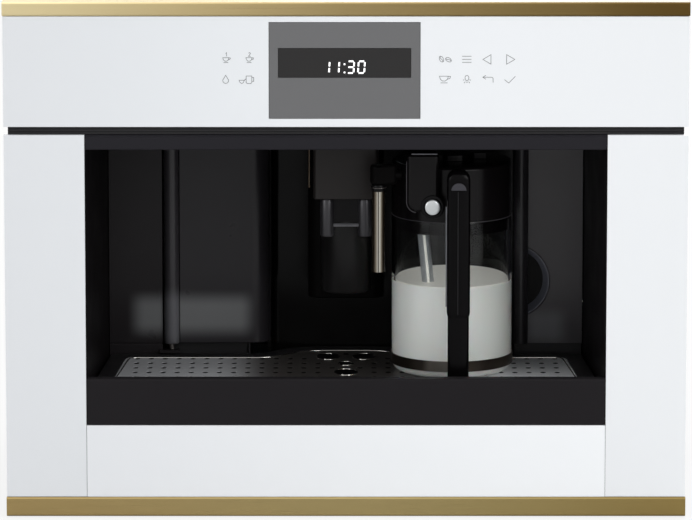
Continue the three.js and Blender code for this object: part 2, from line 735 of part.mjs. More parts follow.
// ---- Drip tray: front strip, basin and steel grid ----
// Plan of the tray with its sides drawn in by inset, following the niche and its central recess.
function trayPlan(inset, frontInset) {
  const shape = new THREE.Shape();
  const yFront = trayFrontY() + frontInset;
  const yBack = nicheBackY - trayBackGap - inset;
  const yBulge = nicheBackY + recessDepth - bulgeGap - inset;
  const sideX = (y) => nicheWallX(y) - traySideGap - inset;
  const corner = trayCorner;
  const shoulder = recessHalfWidth + doorRound - inset / 2;
  const bulge = bulgeHalfWidth - inset / 2;
  shape.moveTo(-sideX(yFront), yFront);
  shape.lineTo(sideX(yFront), yFront);
  shape.lineTo(sideX(yBack - corner), yBack - corner);
  shape.quadraticCurveTo(sideX(yBack), yBack, sideX(yBack) - corner, yBack);
  shape.lineTo(shoulder, yBack);
  shape.bezierCurveTo(shoulder - shoulderHandle, yBack, bulge + bulgeHandle, yBulge, bulge - bulgeFlat, yBulge);
  shape.lineTo(bulgeFlat - bulge, yBulge);
  shape.bezierCurveTo(-bulge - bulgeHandle, yBulge, shoulderHandle - shoulder, yBack, -shoulder, yBack);
  shape.lineTo(corner - sideX(yBack), yBack);
  shape.quadraticCurveTo(-sideX(yBack), yBack, -sideX(yBack - corner), yBack - corner);
  return shape;
}

function trayFrontY() {
  return glassFrontY + stripThickness + seat;
}

function buildDripTray() {
  const stripHalf = nicheHalfWidth - 2 * seat;
  const stripY = [glassFrontY, glassFrontY + stripThickness];
  const profile = polygon([
    [stripY[0], stripBottom], [stripY[1], stripBottom], [stripY[1], stripTop - stripBevel],
    [stripY[1] - stripBevel, stripTop], [stripY[0] + stripBevel, stripTop], [stripY[0], stripTop - stripBevel],
  ]);
  piece('drip_tray_front', prismX(profile, [-stripHalf, stripHalf]), blackPlastic);

  const rimTop = gridTop - seat;
  const gridBottom = gridTop - gridThickness;
  const body = prismZ(trayPlan(0, 0), [basinBottom, rimTop], 6);
  const pocket = prismZ(trayPlan(trayRim, gridFrontInset), [gridBottom - seat, rimTop + past], 6);
  const basin = prismZ(trayPlan(trayRim + gridLedge, gridFrontInset + gridLedge),
    [basinBottom + basinFloor, rimTop + past], 6);
  piece('drip_basin', cut(body, pocket, basin), blackPlastic);

  const gridInset = trayRim + seat;
  const grid = prismZ(trayPlan(gridInset, gridFrontInset + seat), [gridBottom, gridTop], 6);
  piece('drip_grid', cut(grid, ...gridHoles(gridInset, [gridBottom - past, gridTop + past])), steel);
}

// Rows of slots on both sides and four oval drain holes under the spout.
function gridHoles(inset, z) {
  const holes = [];
  const rowLength = holeLength + holeMargin;
  const firstY = trayFrontY() + gridFrontInset + holeMargin;
  const lastY = nicheBackY - trayBackGap - inset - holeMargin;
  const rows = Math.floor((lastY - firstY + holeMargin) / rowLength);
  const columns = Math.floor((nicheBackHalfWidth - inset - holeMargin) / holePitch);
  const drainFree = bigHoleSpread + bigHoleSize[0];
  for (let column = -columns; column <= columns; column += 1) {
    const x = column * holePitch;
    for (let row = 0; row < rows && Math.abs(x) > drainFree; row += 1) {
      const y = firstY + row * rowLength;
      holes.push(block(centred(x, holeWidth), [y, y + holeLength], z));
    }
  }
  const middleY = frontY + drainCentreFromFront;
  const oval = (size, x, y) => {
    const shape = new THREE.Shape();
    shape.absellipse(x, y, size[0], size[1], 0, Math.PI * 2);
    return prismZ(shape, z, 10);
  };
  holes.push(oval(midHoleSize, 0, middleY), oval(bigHoleSize, 0, middleY - bigHoleFront));
  holes.push(oval(bigHoleSize, -bigHoleSpread, middleY + bigHoleBack));
  holes.push(oval(bigHoleSize, bigHoleSpread, middleY + bigHoleBack));
  return holes;
}

// ---- Coffee spout on its guide column ----
function buildCoffeeSpout() {
  const housingY = [frontY + housingFrontDepth, nicheBackY + recessDepth - seat];
  const housingBottom = gridTop + housingLift;
  const outline = roundedRectangle([-housingHalfWidth, housingHalfWidth],
    [housingBottom, wallTop + housingRound], housingRound);
  const above = block([-halfWidth, halfWidth], [frontY, backY], [wallTop, height + housingRound]);
  const guideY = housingY[0] - guideForward;
  const guide = rodZ(guideRadius, [0, guideY], [housingBottom + guideLift, wallTop], 32);
  piece('spout_housing', cut(join(prismY(outline, housingY, 4), guide), above), blackPlastic);

  const blockTop = wallTop - spoutBlockTopGap;
  const blockBottom = blockTop - spoutBlockHeight;
  const blockY = [frontY + spoutFrontDepth, housingY[0] - spoutBackGap];
  const channel = rodZ(guideRadius + seat, [0, guideY], [blockBottom - past, blockTop + past], 32);
  const body = block([-spoutHalfWidth, spoutHalfWidth], blockY, [blockBottom, blockTop]);
  piece('spout_block', cut(body, channel), darkMetal);

  const outletY = blockY[0] + outletSetback;
  const outletZ = [blockBottom - seat - outletLength, blockBottom - seat];
  const tube = (x) => cut(rodZ(outletRadius, [x, outletY], outletZ, 24),
    rodZ(outletBore, [x, outletY], [outletZ[0] - past, outletZ[0] + outletDimple], 16));
  const webZ = [outletZ[0] + webLift, outletZ[1]];
  const web = block([-outletSpread, outletSpread], centred(outletY, webThickness), webZ);
  const arch = rodY(webArch, [0, outletZ[0] + webArchLift], centred(outletY, webThickness + 2 * past), 24);
  piece('spout_outlets', join(tube(-outletSpread), tube(outletSpread), cut(web, arch)), darkMetal);
}

// ---- Milk jug: glass, steel band, milk, intake tube and handle ----
function jugLevels() {
  const bottom = gridTop + seat;
  const lidTop = lintelBottom - columnTopGap - columnTopRise;
  const top = lidTop - lidHeight - seat;
  return { bottom, top, lidTop, centre: [jugX, frontY + jugCentreDepth] };
}

function nozzleZ() {
  return jugLevels().top + nozzleLift;
}

// A rod that follows the lean of the intake tube between two heights.
function leaningRod(radius, z) {
  const { top, centre } = jugLevels();
  const at = (level) => [intakeX + (top - level) * intakeLean, centre[1] - intakeForward, level];
  return tubeAlong([at(z[0]), at(z[1])], radius, 1, 12);
}

function buildJug() {
  const { bottom, top, lidTop, centre } = jugLevels();
  const innerRadius = jugRadius - jugWall;
  const floorZ = bottom + jugFloor;
  const glass = turned([[0, bottom], [jugRadius, bottom], [jugRadius, top], [innerRadius, top],
    [innerRadius, floorZ], [0, floorZ]], centre, 48);
  piece('jug_glass', glass, clearGlass);

  const bandZ = [bottom + bandLift, bottom + bandLift + bandHeight];
  const bandOuter = jugRadius + seat + bandThickness;
  const band = cut(rodZ(bandOuter, centre, bandZ, 48), rodZ(jugRadius + seat, centre, [0, height], 48));
  piece('jug_band', band, steel);

  const milkRadius = innerRadius - seat;
  const surface = top - milkBelowRim;
  const tubeBottom = floorZ + intakeFloorGap;
  const tubeTop = lidTop - lidRoof - 2 * seat;
  const milk = rodZ(milkRadius, centre, [floorZ + seat, surface], 48);
  piece('milk', cut(milk, leaningRod(intakeRadius + seat, [tubeBottom - past, surface + past])), milkWhite);
  const tube = cut(leaningRod(intakeRadius, [tubeBottom, tubeTop]),
    leaningRod(intakeBore, [tubeBottom - past, tubeTop + past]));
  piece('intake_tube', tube, smokedClear);

  const gripY = [frontY + handleFrontDepth, frontY + handleFrontDepth + handleThickness];
  const gripZ = [bottom + handleBottomLift, lintelBottom - handleTopGap];
  const armEnd = centre[1];
  const upperArm = [top - handleArmHeight - bandLift, top - bandLift];
  const outline = polygon([
    [gripY[0], gripZ[0]], [armEnd, gripZ[0]], [armEnd, gripZ[0] + handleArmHeight],
    [gripY[1], gripZ[0] + handleArmHeight], [gripY[1], upperArm[0]], [armEnd, upperArm[0]],
    [armEnd, upperArm[1]], [gripY[1], upperArm[1]], [gripY[1], gripZ[1]], [gripY[0], gripZ[1]],
  ]);
  const gripX = [handleX - handleHalfWidth, handleX + handleHalfWidth];
  const rounded = prismY(roundedRectangle(gripX, gripZ, handleRound), [frontY, armEnd], 4);
  const handle = cut(prismX(outline, gripX).intersect(rounded),
    rodZ(jugRadius + seat, centre, [0, height], 48),
    rodZ(bandOuter + seat, centre, [bandZ[0] - seat, bandZ[1] + seat], 48));
  piece('jug_handle', handle, blackPlastic);
}

// ---- Lid with froth column, push button and regulator ----
function buildLid() {
  const { top, lidTop, centre } = jugLevels();
  const lidRadius = jugRadius - lidInset;
  const skirtRadius = jugRadius - jugWall - seat;
  const hollowRadius = skirtRadius - lidWall;
  const skirtZ = top - lidSkirt;
  const roofZ = lidTop - lidRoof;
  const shell = turned([[hollowRadius, skirtZ], [skirtRadius, skirtZ], [skirtRadius, top + seat],
    [lidRadius, top + seat], [lidRadius, lidTop], [0, lidTop], [0, roofZ], [hollowRadius, roofZ],
    [hollowRadius, skirtZ]], centre, 40);

  const columnSpan = [columnX - columnHalfWidth, columnX + columnHalfWidth];
  const columnY = [frontY + columnFrontDepth, frontY + columnFrontDepth + columnDepth];
  const columnZ = [top + columnBottomLift, lidTop + columnTopRise];
  const column = prismZ(roundedRectangle(columnSpan, columnY, columnRound), columnZ, 4)
    .intersect(prismY(roundedRectangle(columnSpan, columnZ, columnEdgeRound), columnY, 4));

  const buttonZ = top + buttonLift;
  const ringFront = columnY[0] - ringStandOut;
  const buttonBack = ringFront + buttonDepth;
  const ring = rodY(buttonRing, [buttonX, buttonZ], [ringFront, columnY[1] - ringBackInset], 28);
  const well = rodY(buttonRadius + seat, [buttonX, buttonZ],
    [ringFront - past, buttonBack + buttonTravel + seat], 28);
  const pivot = [spoutPivotX, frontY + spoutPivotDepth];
  const bossTop = top + armAboveRim - knuckleHeight / 2 - seat;
  const boss = join(rodZ(knuckleRadius, pivot, [bossTop - bossHeight, bossTop], 16),
    block([pivot[0], columnX], centred(pivot[1], bossArmWidth), [bossTop - bossHeight, bossTop]));
  const socketY = [centre[1] + hollowRadius - socketOverlap, nicheBackY];
  const socket = rodY(nozzleRadius + seat, [jugX, nozzleZ()], socketY, 20);
  piece('jug_lid', cut(join(shell, column, ring, boss), well, socket), blackPlastic);

  const button = rodY(buttonRadius, [buttonX, buttonZ], [ringFront - buttonStandOut, buttonBack], 28);
  piece('froth_button', button, silverPlastic);

  const regulatorZ = [lidTop + seat, lidTop + seat + regulatorHeight];
  const lever = block([centre[0], centre[0] + regulatorLever], centred(centre[1], leverWidth), regulatorZ);
  piece('froth_regulator', join(rodZ(regulatorRadius, centre, regulatorZ, 28), lever), blackPlastic);
}

// ---- Swivelling milk spout ----
function buildMilkSpout() {
  const { top } = jugLevels();
  const pivot = [spoutPivotX, frontY + spoutPivotDepth];
  const outlet = [milkSpoutX, frontY + milkSpoutDepth];
  const armZ = top + armAboveRim;
  const tubeTop = armZ - elbowDrop;
  const along = (share, z) => [pivot[0] + (outlet[0] - pivot[0]) * share,
    pivot[1] + (outlet[1] - pivot[1]) * share, z];
  const arm = tubeAlong([along(0, armZ), along(elbowShare, armZ), along(1, armZ - elbowReach),
    along(1, tubeTop + elbowReach), along(1, tubeTop + seat)], armRadius, 14, 10);
  const knuckle = rodZ(knuckleRadius, pivot, centred(armZ, knuckleHeight), 16);
  piece('milk_spout_arm', join(arm, knuckle), blackPlastic);
  const tubeBottom = tubeTop - milkTubeLength;
  const tube = rodZ(milkTubeRadius, outlet, [tubeBottom, tubeTop], 20);
  const bore = rodZ(outletBore, outlet, [tubeBottom - past, tubeBottom + outletDimple], 16);
  piece('milk_spout_tube', cut(tube, bore), steel);
}

// ---- Working parts inside the casing ----
function buildInside() {
  const hopperTop = casingTop - plateThickness - seat;
  const hopperZ = [hopperTop - hopperDepth, hopperTop];
  const beans = block([hopperLeft + hopperWall, hopperRight - hopperWall],
    [hopperFrontY + hopperWall, hopperBackY - hopperWall], [hopperZ[0] + hopperWall, hopperTop + past]);
  piece('bean_hopper', cut(block([hopperLeft, hopperRight], [hopperFrontY, hopperBackY], hopperZ), beans),
    smokedClear);

  const lidZ = [casingTop + seat, casingTop + seat + lidPlate];
  const hingeY = hopperBackY + 2 * lidHingeRadius;
  const lidX = [hopperLeft - hopperLip, hopperRight + hopperLip];
  const plate = block(lidX, [hopperFrontY - hopperLip, hingeY], lidZ);
  piece('hopper_lid', join(plate, rodX(lidHingeRadius, [hingeY, lidZ[0] + lidHingeRadius], lidX, 12)),
    blackPlastic);
  const knobZ = [casingTop + seat, casingTop + seat + knobHeight];
  piece('grind_knob', rodZ(knobRadius, [knobX, nicheBackY + knobY], knobZ, 16), blackPlastic);

  const grinderCentre = [grinderX, hopperBackY - hopperWall - grinderRadius];
  const grinderTop = hopperZ[0] - seat;
  piece('grinder', rodZ(grinderRadius, grinderCentre, [grinderTop - grinderHeight, grinderTop], 28), darkMetal);

  const standing = (size, start, floorZ) => block([start[0], start[0] + size[0]],
    [start[1], start[1] + size[1]], [floorZ, floorZ + size[2]]);
  const boilerX = tankLeft + tankInset - boilerTankGap - boilerSize[0];
  piece('boiler', standing(boilerSize, [boilerX, nicheBackY + boilerStart], onDeck), copper);
  const pumpFloor = casingBottom + plateThickness + seat;
  piece('pump', standing(pumpSize, [pumpStart[0], nicheBackY + pumpStart[1]], pumpFloor), darkMetal);

  const boardX = [-insideX, -insideX + boardThickness];
  const boardY = [nicheBackY + powerBoardStart[0], nicheBackY + powerBoardStart[0] + powerBoardSize[0]];
  const boardZ = [powerBoardStart[1], powerBoardStart[1] + powerBoardSize[1]];
  const transformer = block([boardX[0], boardX[0] + transformerSize[0]],
    centred((boardY[0] + boardY[1]) / 2, transformerSize[1]),
    centred((boardZ[0] + boardZ[1]) / 2, transformerSize[2]));
  piece('power_board', join(block(boardX, boardY, boardZ), transformer), circuitGreen);

  const nozzleY = [nicheBackY - nozzleReach, nicheBackY + nozzleTail];
  const nozzleAt = [jugX, nozzleZ()];
  piece('steam_nozzle', cut(rodY(nozzleRadius, nozzleAt, nozzleY, 20),
    rodY(nozzleBore, nozzleAt, [nozzleY[0] - past, nozzleY[1] + past], 12)), steel);
}

// ---- Mains inlet and rocker switch in the back ----
function buildRear() {
  const inletY = [casingBackY + inletStandOut - inletSize[1], casingBackY + inletStandOut];
  const socket = block(centred(inletX, inletSize[0] - 2 * inletWall),
    [inletY[1] - inletRecess, inletY[1] + past], centred(inletZ, inletSize[2] - 2 * inletWall));
  const body = block(centred(inletX, inletSize[0]), inletY, centred(inletZ, inletSize[2]));
  piece('mains_inlet', cut(body, socket), blackPlastic);

  const rocker = piece('power_switch', block(centred(0, switchWidth), centred(0, switchThickness),
    centred(0, switchHeight)), glossBlack);
  rocker.position.set(switchX, casingBackY - casingWall, inletZ);
  rocker.rotation.x = THREE.MathUtils.degToRad(switchTilt);
}

buildMounting();
buildCasing();
buildFront();
buildDisplay();
buildNiche();
buildServiceDoor();
buildWaterTank();
buildDripTray();
buildCoffeeSpout();
buildJug();
buildLid();
buildMilkSpout();
buildInside();
buildRear();

export default model;
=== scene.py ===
from math import acos, cos, degrees, pi, radians, sin
from types import SimpleNamespace

import bmesh
import bpy
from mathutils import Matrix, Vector
from mathutils.geometry import delaunay_2d_cdt

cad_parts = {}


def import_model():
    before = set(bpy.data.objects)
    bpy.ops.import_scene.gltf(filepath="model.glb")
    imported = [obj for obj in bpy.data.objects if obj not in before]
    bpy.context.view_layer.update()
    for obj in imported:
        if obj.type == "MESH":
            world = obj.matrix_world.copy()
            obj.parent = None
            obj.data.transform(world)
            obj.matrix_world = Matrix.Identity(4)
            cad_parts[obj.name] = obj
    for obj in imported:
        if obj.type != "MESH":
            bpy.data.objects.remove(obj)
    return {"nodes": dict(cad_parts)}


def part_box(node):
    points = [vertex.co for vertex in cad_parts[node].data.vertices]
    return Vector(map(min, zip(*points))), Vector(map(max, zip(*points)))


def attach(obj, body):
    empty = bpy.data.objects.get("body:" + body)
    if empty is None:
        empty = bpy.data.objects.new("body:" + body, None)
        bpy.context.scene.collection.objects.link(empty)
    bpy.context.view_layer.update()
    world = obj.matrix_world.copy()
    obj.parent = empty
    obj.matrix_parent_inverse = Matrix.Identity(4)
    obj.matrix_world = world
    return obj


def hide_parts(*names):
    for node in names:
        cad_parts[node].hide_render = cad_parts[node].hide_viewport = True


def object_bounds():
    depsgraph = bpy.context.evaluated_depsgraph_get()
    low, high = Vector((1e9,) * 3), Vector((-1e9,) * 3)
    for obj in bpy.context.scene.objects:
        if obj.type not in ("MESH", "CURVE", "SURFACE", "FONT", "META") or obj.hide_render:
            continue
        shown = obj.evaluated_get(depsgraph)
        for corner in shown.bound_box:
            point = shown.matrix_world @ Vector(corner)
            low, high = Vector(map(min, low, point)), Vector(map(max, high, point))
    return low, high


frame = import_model()
CAD_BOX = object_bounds()
NODES = frame["nodes"]

MM = 0.001
FRONT_Y = CAD_BOX[0].y
TOP_Z = CAD_BOX[1].z
HALF_WIDTH = CAD_BOX[1].x
GLASS_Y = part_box("top_glass")[0].y
GRID_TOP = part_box("drip_grid")[1].z
PRINT_THICKNESS = 0.08 * MM


def mm(*values):
    return tuple(value * MM for value in values)


def lengths(**values):
    """Named lengths, and pairs of them, given in millimetres."""
    return SimpleNamespace(**{name: mm(*value) if isinstance(value, tuple) else value * MM
                              for name, value in values.items()})


JUG = lengths(x=94.2, y=-75, radius=53.4, wall=2.4, corner=9, base=1.4)
MILK_SPOUT = lengths(x=28.5, y=-131, pivot=(47, -127), arm_z=294.2, tube=5.7, foot=6)


# ---- Materials: colours are given as they look on a screen, from 0 to 255 ----
def linear(*srgb):
    return tuple((c / 255 / 12.92) if c < 10.3 else ((c / 255 + 0.055) / 1.055) ** 2.4 for c in srgb) + (1.0,)


def feed(tree, socket, value):
    """Sets a socket to a constant, or links it to another node's output."""
    if isinstance(value, bpy.types.NodeSocket):
        tree.links.new(value, socket)
    else:
        socket.default_value = value


def add_node(tree, kind, **inputs):
    made = tree.nodes.new("ShaderNode" + kind)
    for name, value in inputs.items():
        feed(tree, made.inputs[name.replace("_", " ")], value)
    return made


def combined(tree, operation, one, other, clamp=False):
    made = add_node(tree, "Math")
    made.operation = operation
    made.use_clamp = clamp
    feed(tree, made.inputs[0], one)
    feed(tree, made.inputs[1], other)
    return made.outputs[0]


def map_range(tree, value, low, high, start=0.0, stop=1.0):
    return add_node(tree, "MapRange", Value=value, From_Min=low, From_Max=high, To_Min=start, To_Max=stop)


def shade(tree, **inputs):
    """Feeds the tree's principled shader."""
    for name, value in inputs.items():
        feed(tree, tree.nodes["Principled BSDF"].inputs[name.replace("_", " ")], value)


def principled(tree, color, roughness, **inputs):
    shade(tree, Base_Color=linear(*color), Roughness=roughness, **inputs)


def object_place(tree):
    return add_node(tree, "TexCoord").outputs["Object"]


def object_xyz(tree):
    return add_node(tree, "SeparateXYZ", Vector=object_place(tree)).outputs


def mapped_noise(tree, scale, stretch=(1, 1, 1), detail=3.0):
    """A noise texture in object space; stretch pulls the grain along an axis."""
    mapping = add_node(tree, "Mapping", Vector=object_place(tree), Scale=stretch)
    return add_node(tree, "TexNoise", Vector=mapping.outputs[0], Scale=scale, Detail=detail).outputs["Fac"]


NOISE_LOW, NOISE_HIGH = 0.3, 0.7  # nearly all of a noise texture's values lie between these


def vary_roughness(tree, noise, low, high):
    shade(tree, Roughness=map_range(tree, noise, NOISE_LOW, NOISE_HIGH, low, high).outputs["Result"])


def add_bump(tree, noise, strength, distance=0.02 * MM):
    bump = add_node(tree, "Bump", Strength=strength, Distance=distance, Height=noise)
    shade(tree, Normal=bump.outputs["Normal"])


def color_ramp(tree, value, stops, interpolation):
    """Drives the base colour by a value; each stop is its place and a linear colour."""
    ramp = add_node(tree, "ValToRGB", Fac=value)
    elements = ramp.color_ramp.elements
    ramp.color_ramp.interpolation = interpolation
    while len(elements) < len(stops):
        elements.new(0.5)
    for element, (position, color) in zip(elements, stops):
        element.position = position
        element.color = color
    shade(tree, Base_Color=ramp.outputs["Color"])


def color_stops(tree, value, stops, interpolation="B_SPLINE"):
    """The same from stops of four numbers: place, red, green and blue."""
    color_ramp(tree, value, [(position, linear(*color)) for position, *color in stops], interpolation)


def along_width(tree, low=-HALF_WIDTH, high=HALF_WIDTH):
    """Nought at the low x, one at the high x: by default the ends of the front."""
    return map_range(tree, object_xyz(tree)["X"], low, high).outputs["Result"]


def gold(tree, *stops):
    """Brushed gold; the tone that drifts along the bar is a painted reflection."""
    principled(tree, stops[0][1:], 0.3, Metallic=1.0)
    color_stops(tree, along_width(tree), stops)
    brushing = mapped_noise(tree, 60, (0.12, 30, 30), 4.0)
    vary_roughness(tree, brushing, 0.26, 0.4)
    add_bump(tree, brushing, 0.12)


def white_glass(tree, *stops):
    """Glass painted white behind, under a clear coat; greyer towards its left end as painted shade."""
    principled(tree, (240, 243, 245), 0.35, Coat_Weight=1.0, Coat_Roughness=0.02)
    color_stops(tree, along_width(tree), stops)
    vary_roughness(tree, mapped_noise(tree, 3.0), 0.3, 0.4)


def moulded(tree, color, roughness, gloss=0.5, grain=900, bump=0.02, **inputs):
    """Moulded plastic: fine grain in the surface and slightly uneven gloss."""
    principled(tree, color, roughness, Specular_IOR_Level=gloss, **inputs)
    add_bump(tree, mapped_noise(tree, grain, detail=2.0), bump, 0.03 * MM)
    vary_roughness(tree, mapped_noise(tree, 25), roughness * 0.9, roughness * 1.12)


def brushed(tree, color, roughness, stretch, metallic=1.0):
    """Metal with fine lines, darker where they are deep."""
    principled(tree, color, roughness, Metallic=metallic)
    lines = mapped_noise(tree, 70, stretch, 4.0)
    vary_roughness(tree, lines, roughness * 0.75, roughness * 1.3)
    light = linear(*color)
    dark = tuple(0.86 * c for c in light[:3]) + (1.0,)
    color_ramp(tree, lines, [(NOISE_LOW, dark), (NOISE_HIGH, light)], "LINEAR")
    add_bump(tree, lines, 0.1)


def round_steel_painted_reflection(tree, color, span, roughness, *stops):
    """Polished round steel with painted reflections: upright light and dark streaks, placed from side to
    side.
    """
    principled(tree, color, roughness, Metallic=0.6)
    color_stops(tree, along_width(tree, *span), stops, "EASE")
    add_bump(tree, mapped_noise(tree, 70, (30, 30, 0.1), 4.0), 0.08)


def sheet_steel_painted_reflection(tree, *stops):
    """Sheet steel brushed along x, with a painted reflection: its tones follow what it mirrors, dark in the
    middle before the recess and pale at the sides.
    """
    principled(tree, (190, 190, 190), 0.34, Metallic=0.1)
    color_stops(tree, along_width(tree), stops)
    lines = mapped_noise(tree, 70, (0.12, 30, 30), 4.0)
    vary_roughness(tree, lines, 0.28, 0.42)
    add_bump(tree, lines, 0.1)


def milk_painted_light(tree, *stops):
    """Milk behind the jug's wall, with a faint glow as painted light and painted shade that darkens it
    towards the right.
    """
    principled(tree, (234, 238, 238), 0.35, Subsurface_Weight=0.15, Subsurface_Scale=4 * MM,
               Emission_Color=linear(250, 249, 245), Emission_Strength=0.06)
    color_stops(tree, along_width(tree, *JUG_SPAN), stops)
    vary_roughness(tree, mapped_noise(tree, 30), 0.3, 0.4)


def clear(tree, color, roughness, ior):
    principled(tree, color, roughness, Transmission_Weight=1.0, IOR=ior)
    vary_roughness(tree, mapped_noise(tree, 12), roughness, roughness + 0.015)


def circuit_board(tree, color, dark, light):
    principled(tree, color, 0.5)
    tracks = mapped_noise(tree, 200, (1, 1, 0.2))
    color_stops(tree, tracks, [(NOISE_LOW, *dark), (NOISE_HIGH, *light)], "LINEAR")


# How softly each painted reflection fades at its edges.
REFLECTION_BLUR = 9 * MM


def soft_span(tree, value, low, high):
    """One where the value lies between low and high, nought outside, with soft ends."""
    ramps = [map_range(tree, value, edge - REFLECTION_BLUR, edge + REFLECTION_BLUR, start, 1 - start)
             for edge, start in ((low, 0), (high, 1))]
    for ramp in ramps:
        ramp.interpolation_type = "SMOOTHSTEP"
    return combined(tree, "MULTIPLY", *(ramp.outputs["Result"] for ramp in ramps))


def panel_black(tree, color, painted_reflection_color, spans, gloss):
    """Satin black panel with a painted reflection of the drip grid: a pale patch low down where it faces the
    grid.
    """
    moulded(tree, color, 0.3, gloss, 1100, 0.03)
    x, _, z = object_xyz(tree)
    shares = [combined(tree, "MULTIPLY", soft_span(tree, x, *across), soft_span(tree, z, *upwards))
              for across, upwards in spans]
    total = shares[0]
    for share in shares[1:]:
        total = combined(tree, "ADD", total, share, True)
    mix = add_node(tree, "Mix")
    mix.data_type = "RGBA"
    for socket, value in {"A": linear(*color), "B": linear(*painted_reflection_color), "Factor": total}.items():
        feed(tree, mix.inputs[socket], value)
    shade(tree, Base_Color=mix.outputs["Result"])


def new_material(make, name, *values, **inputs):
    material = bpy.data.materials.new(name)
    material.use_nodes = True
    make(material.node_tree, *values, **inputs)
    return material


LOOKS = {}


def keep(slot, *recipe, **inputs):
    """Keeps a material under its name, with the name of its slot."""
    LOOKS[recipe[1]] = (new_material(*recipe, **inputs), slot)


PLASTICS = {  # by slot: colour, roughness, gloss and, where they aren't the usual ones, grain and bump
    "black_plastic": {
        "black_satin": ((30, 29, 31), 0.38, 0.3, 1200, 0.12), "black_smooth": ((11, 10, 11), 0.26, 0.1),
        "strip_black": ((33, 31, 33), 0.5, 0.06, 1500, 0.1), "column_black": ((20, 19, 19), 0.3, 0.2),
        # A lighter copy of the black for the lintel: painted light, as its face tilts up towards the light.
        "lintel_black": ((38, 37, 41), 0.5, 0.06, 1500, 0.1),
        "lid_black": ((13, 11, 12), 0.22, 0.13, 900, 0.01),
        "block_black": ((35, 32, 31), 0.34, 0.17, 900, 0.03)},
    "gloss_black": {
        "wall_black": ((14, 12, 13), 0.4, 0.05, 1200, 0.03), "recess_black": ((9, 8, 8), 0.24, 0.1),
        "shell_black": ((7, 6, 6), 0.5, 0.03), "handle_black": ((6, 5, 6), 0.2, 0.07, 900, 0.01),
        # The finger recess: a painted highlight on its wall, painted shade on its floor.
        "cup_dark": ((16, 15, 16), 0.4, 0.1), "cup_rim": ((138, 140, 152), 0.35)},
    "grey_panel": {
        # Besides the grey panel and the ink, these greys are painted highlights on black parts; the dim one
        # also draws the lid's seam.
        "grey_panel": ((108, 108, 109), 0.5, 0.3, 1500, 0.03), "ridge_dark": ((36, 35, 37), 0.4, 0.2),
        "cap_grey": ((60, 59, 64), 0.4, 0.2), "seam_dim": ((70, 68, 72), 0.35, 0.3),
        "seam_grey": ((128, 128, 134), 0.35), "ink": ((96, 97, 99), 0.5)},
    "display_window": {"display_window": ((46, 45, 45), 0.4, 0.15, 600, 0.01)},
    # A light brown line on the spout housing's edge: a painted highlight.
    "dark_metal": {"trim_brown": ((104, 88, 68), 0.35)},
}
for slot, finishes in PLASTICS.items():
    for name, values in finishes.items():
        keep(slot, moulded, name, *values)
keep("dark_metal", moulded, "outlet_grey", (52, 51, 54), 0.3, Metallic=0.5)
# Light grey for the outlets' ledge: a painted highlight.
keep("dark_metal", moulded, "ledge_grey", (112, 112, 116), 0.35, Metallic=0.3)
keep("silver_plastic", moulded, "silver", (205, 208, 209), 0.28, grain=800, Metallic=0.55)
keep("clear_plastic", moulded, "frosted", (176, 180, 184), 0.35, grain=700, Transmission_Weight=0.45)
# The milk's top and the intake tube's core glow: painted light.
keep("milk", moulded, "milk_top", (232, 230, 222), 0.3, grain=300, Emission_Color=linear(232, 230, 222),
     Emission_Strength=0.24)
keep("display_window", principled, "glow", (250, 250, 250), 0.4, Emission_Color=linear(255, 255, 255),
     Emission_Strength=0.9)

# Each painted reflection's span from side to side and from below upwards.
GRID_REFLECTION_SPANS = [(mm(-190, -88), mm(130, 161)), (mm(164, 196), mm(121, 148))]
BAR_REFLECTION_SPANS = [(mm(-190, -130), mm(121, 165))]
# The black panels and the door's bar carry a painted reflection of the drip grid low down.
keep("gloss_black", panel_black, "panel_black", (30, 27, 29), (108, 109, 110), GRID_REFLECTION_SPANS, 0.15)
keep("gloss_black", panel_black, "door_black", (38, 36, 39), (116, 117, 118), GRID_REFLECTION_SPANS, 0.22)
keep("gloss_black", panel_black, "tank_black", (80, 77, 80), (124, 124, 128), GRID_REFLECTION_SPANS, 0.3)
keep("gloss_black", panel_black, "bar_gloss", (52, 50, 53), (96, 96, 100), BAR_REFLECTION_SPANS, 0.3)

# The tone along each gold bar is a painted reflection.
keep("gold_trim", gold, "top_gold", (0, 232, 216, 170), (0.25, 196, 176, 130), (0.5, 160, 140, 96),
     (0.85, 108, 88, 49), (1, 90, 70, 34))
keep("gold_trim", gold, "bottom_gold", (0, 162, 138, 91), (0.55, 172, 156, 110), (1, 136, 114, 64))
# The white glass is greyer to the left as painted shade; the bottom glass's copy is painted brighter, as
# painted light.
keep("white_glass", white_glass, "white_glass", (0, 228, 230, 233), (0.25, 234, 237, 240),
     (0.6, 246, 248, 251), (1, 240, 242, 244))
keep("white_glass", white_glass, "white_glass_low", (0, 232, 234, 237), (0.25, 240, 242, 245),
     (0.6, 251, 253, 255), (1, 251, 253, 255))

JUG_SPAN = (JUG.x - JUG.radius, JUG.x + JUG.radius)
OUTLET_SPAN = (MILK_SPOUT.x - MILK_SPOUT.foot, MILK_SPOUT.x + MILK_SPOUT.foot)
# The grid's tones across its width are a painted reflection of the recess and the panels behind it.
keep("stainless", sheet_steel_painted_reflection, "grid_steel", (0, 212, 213, 216), (0.3, 212, 213, 216), (0.34, 172, 172, 174),
     (0.37, 80, 76, 74), (0.42, 60, 57, 55), (0.5, 56, 53, 51), (0.58, 60, 57, 55), (0.63, 80, 76, 74),
     (0.66, 210, 211, 214), (0.7, 252, 253, 255), (1, 252, 253, 255))
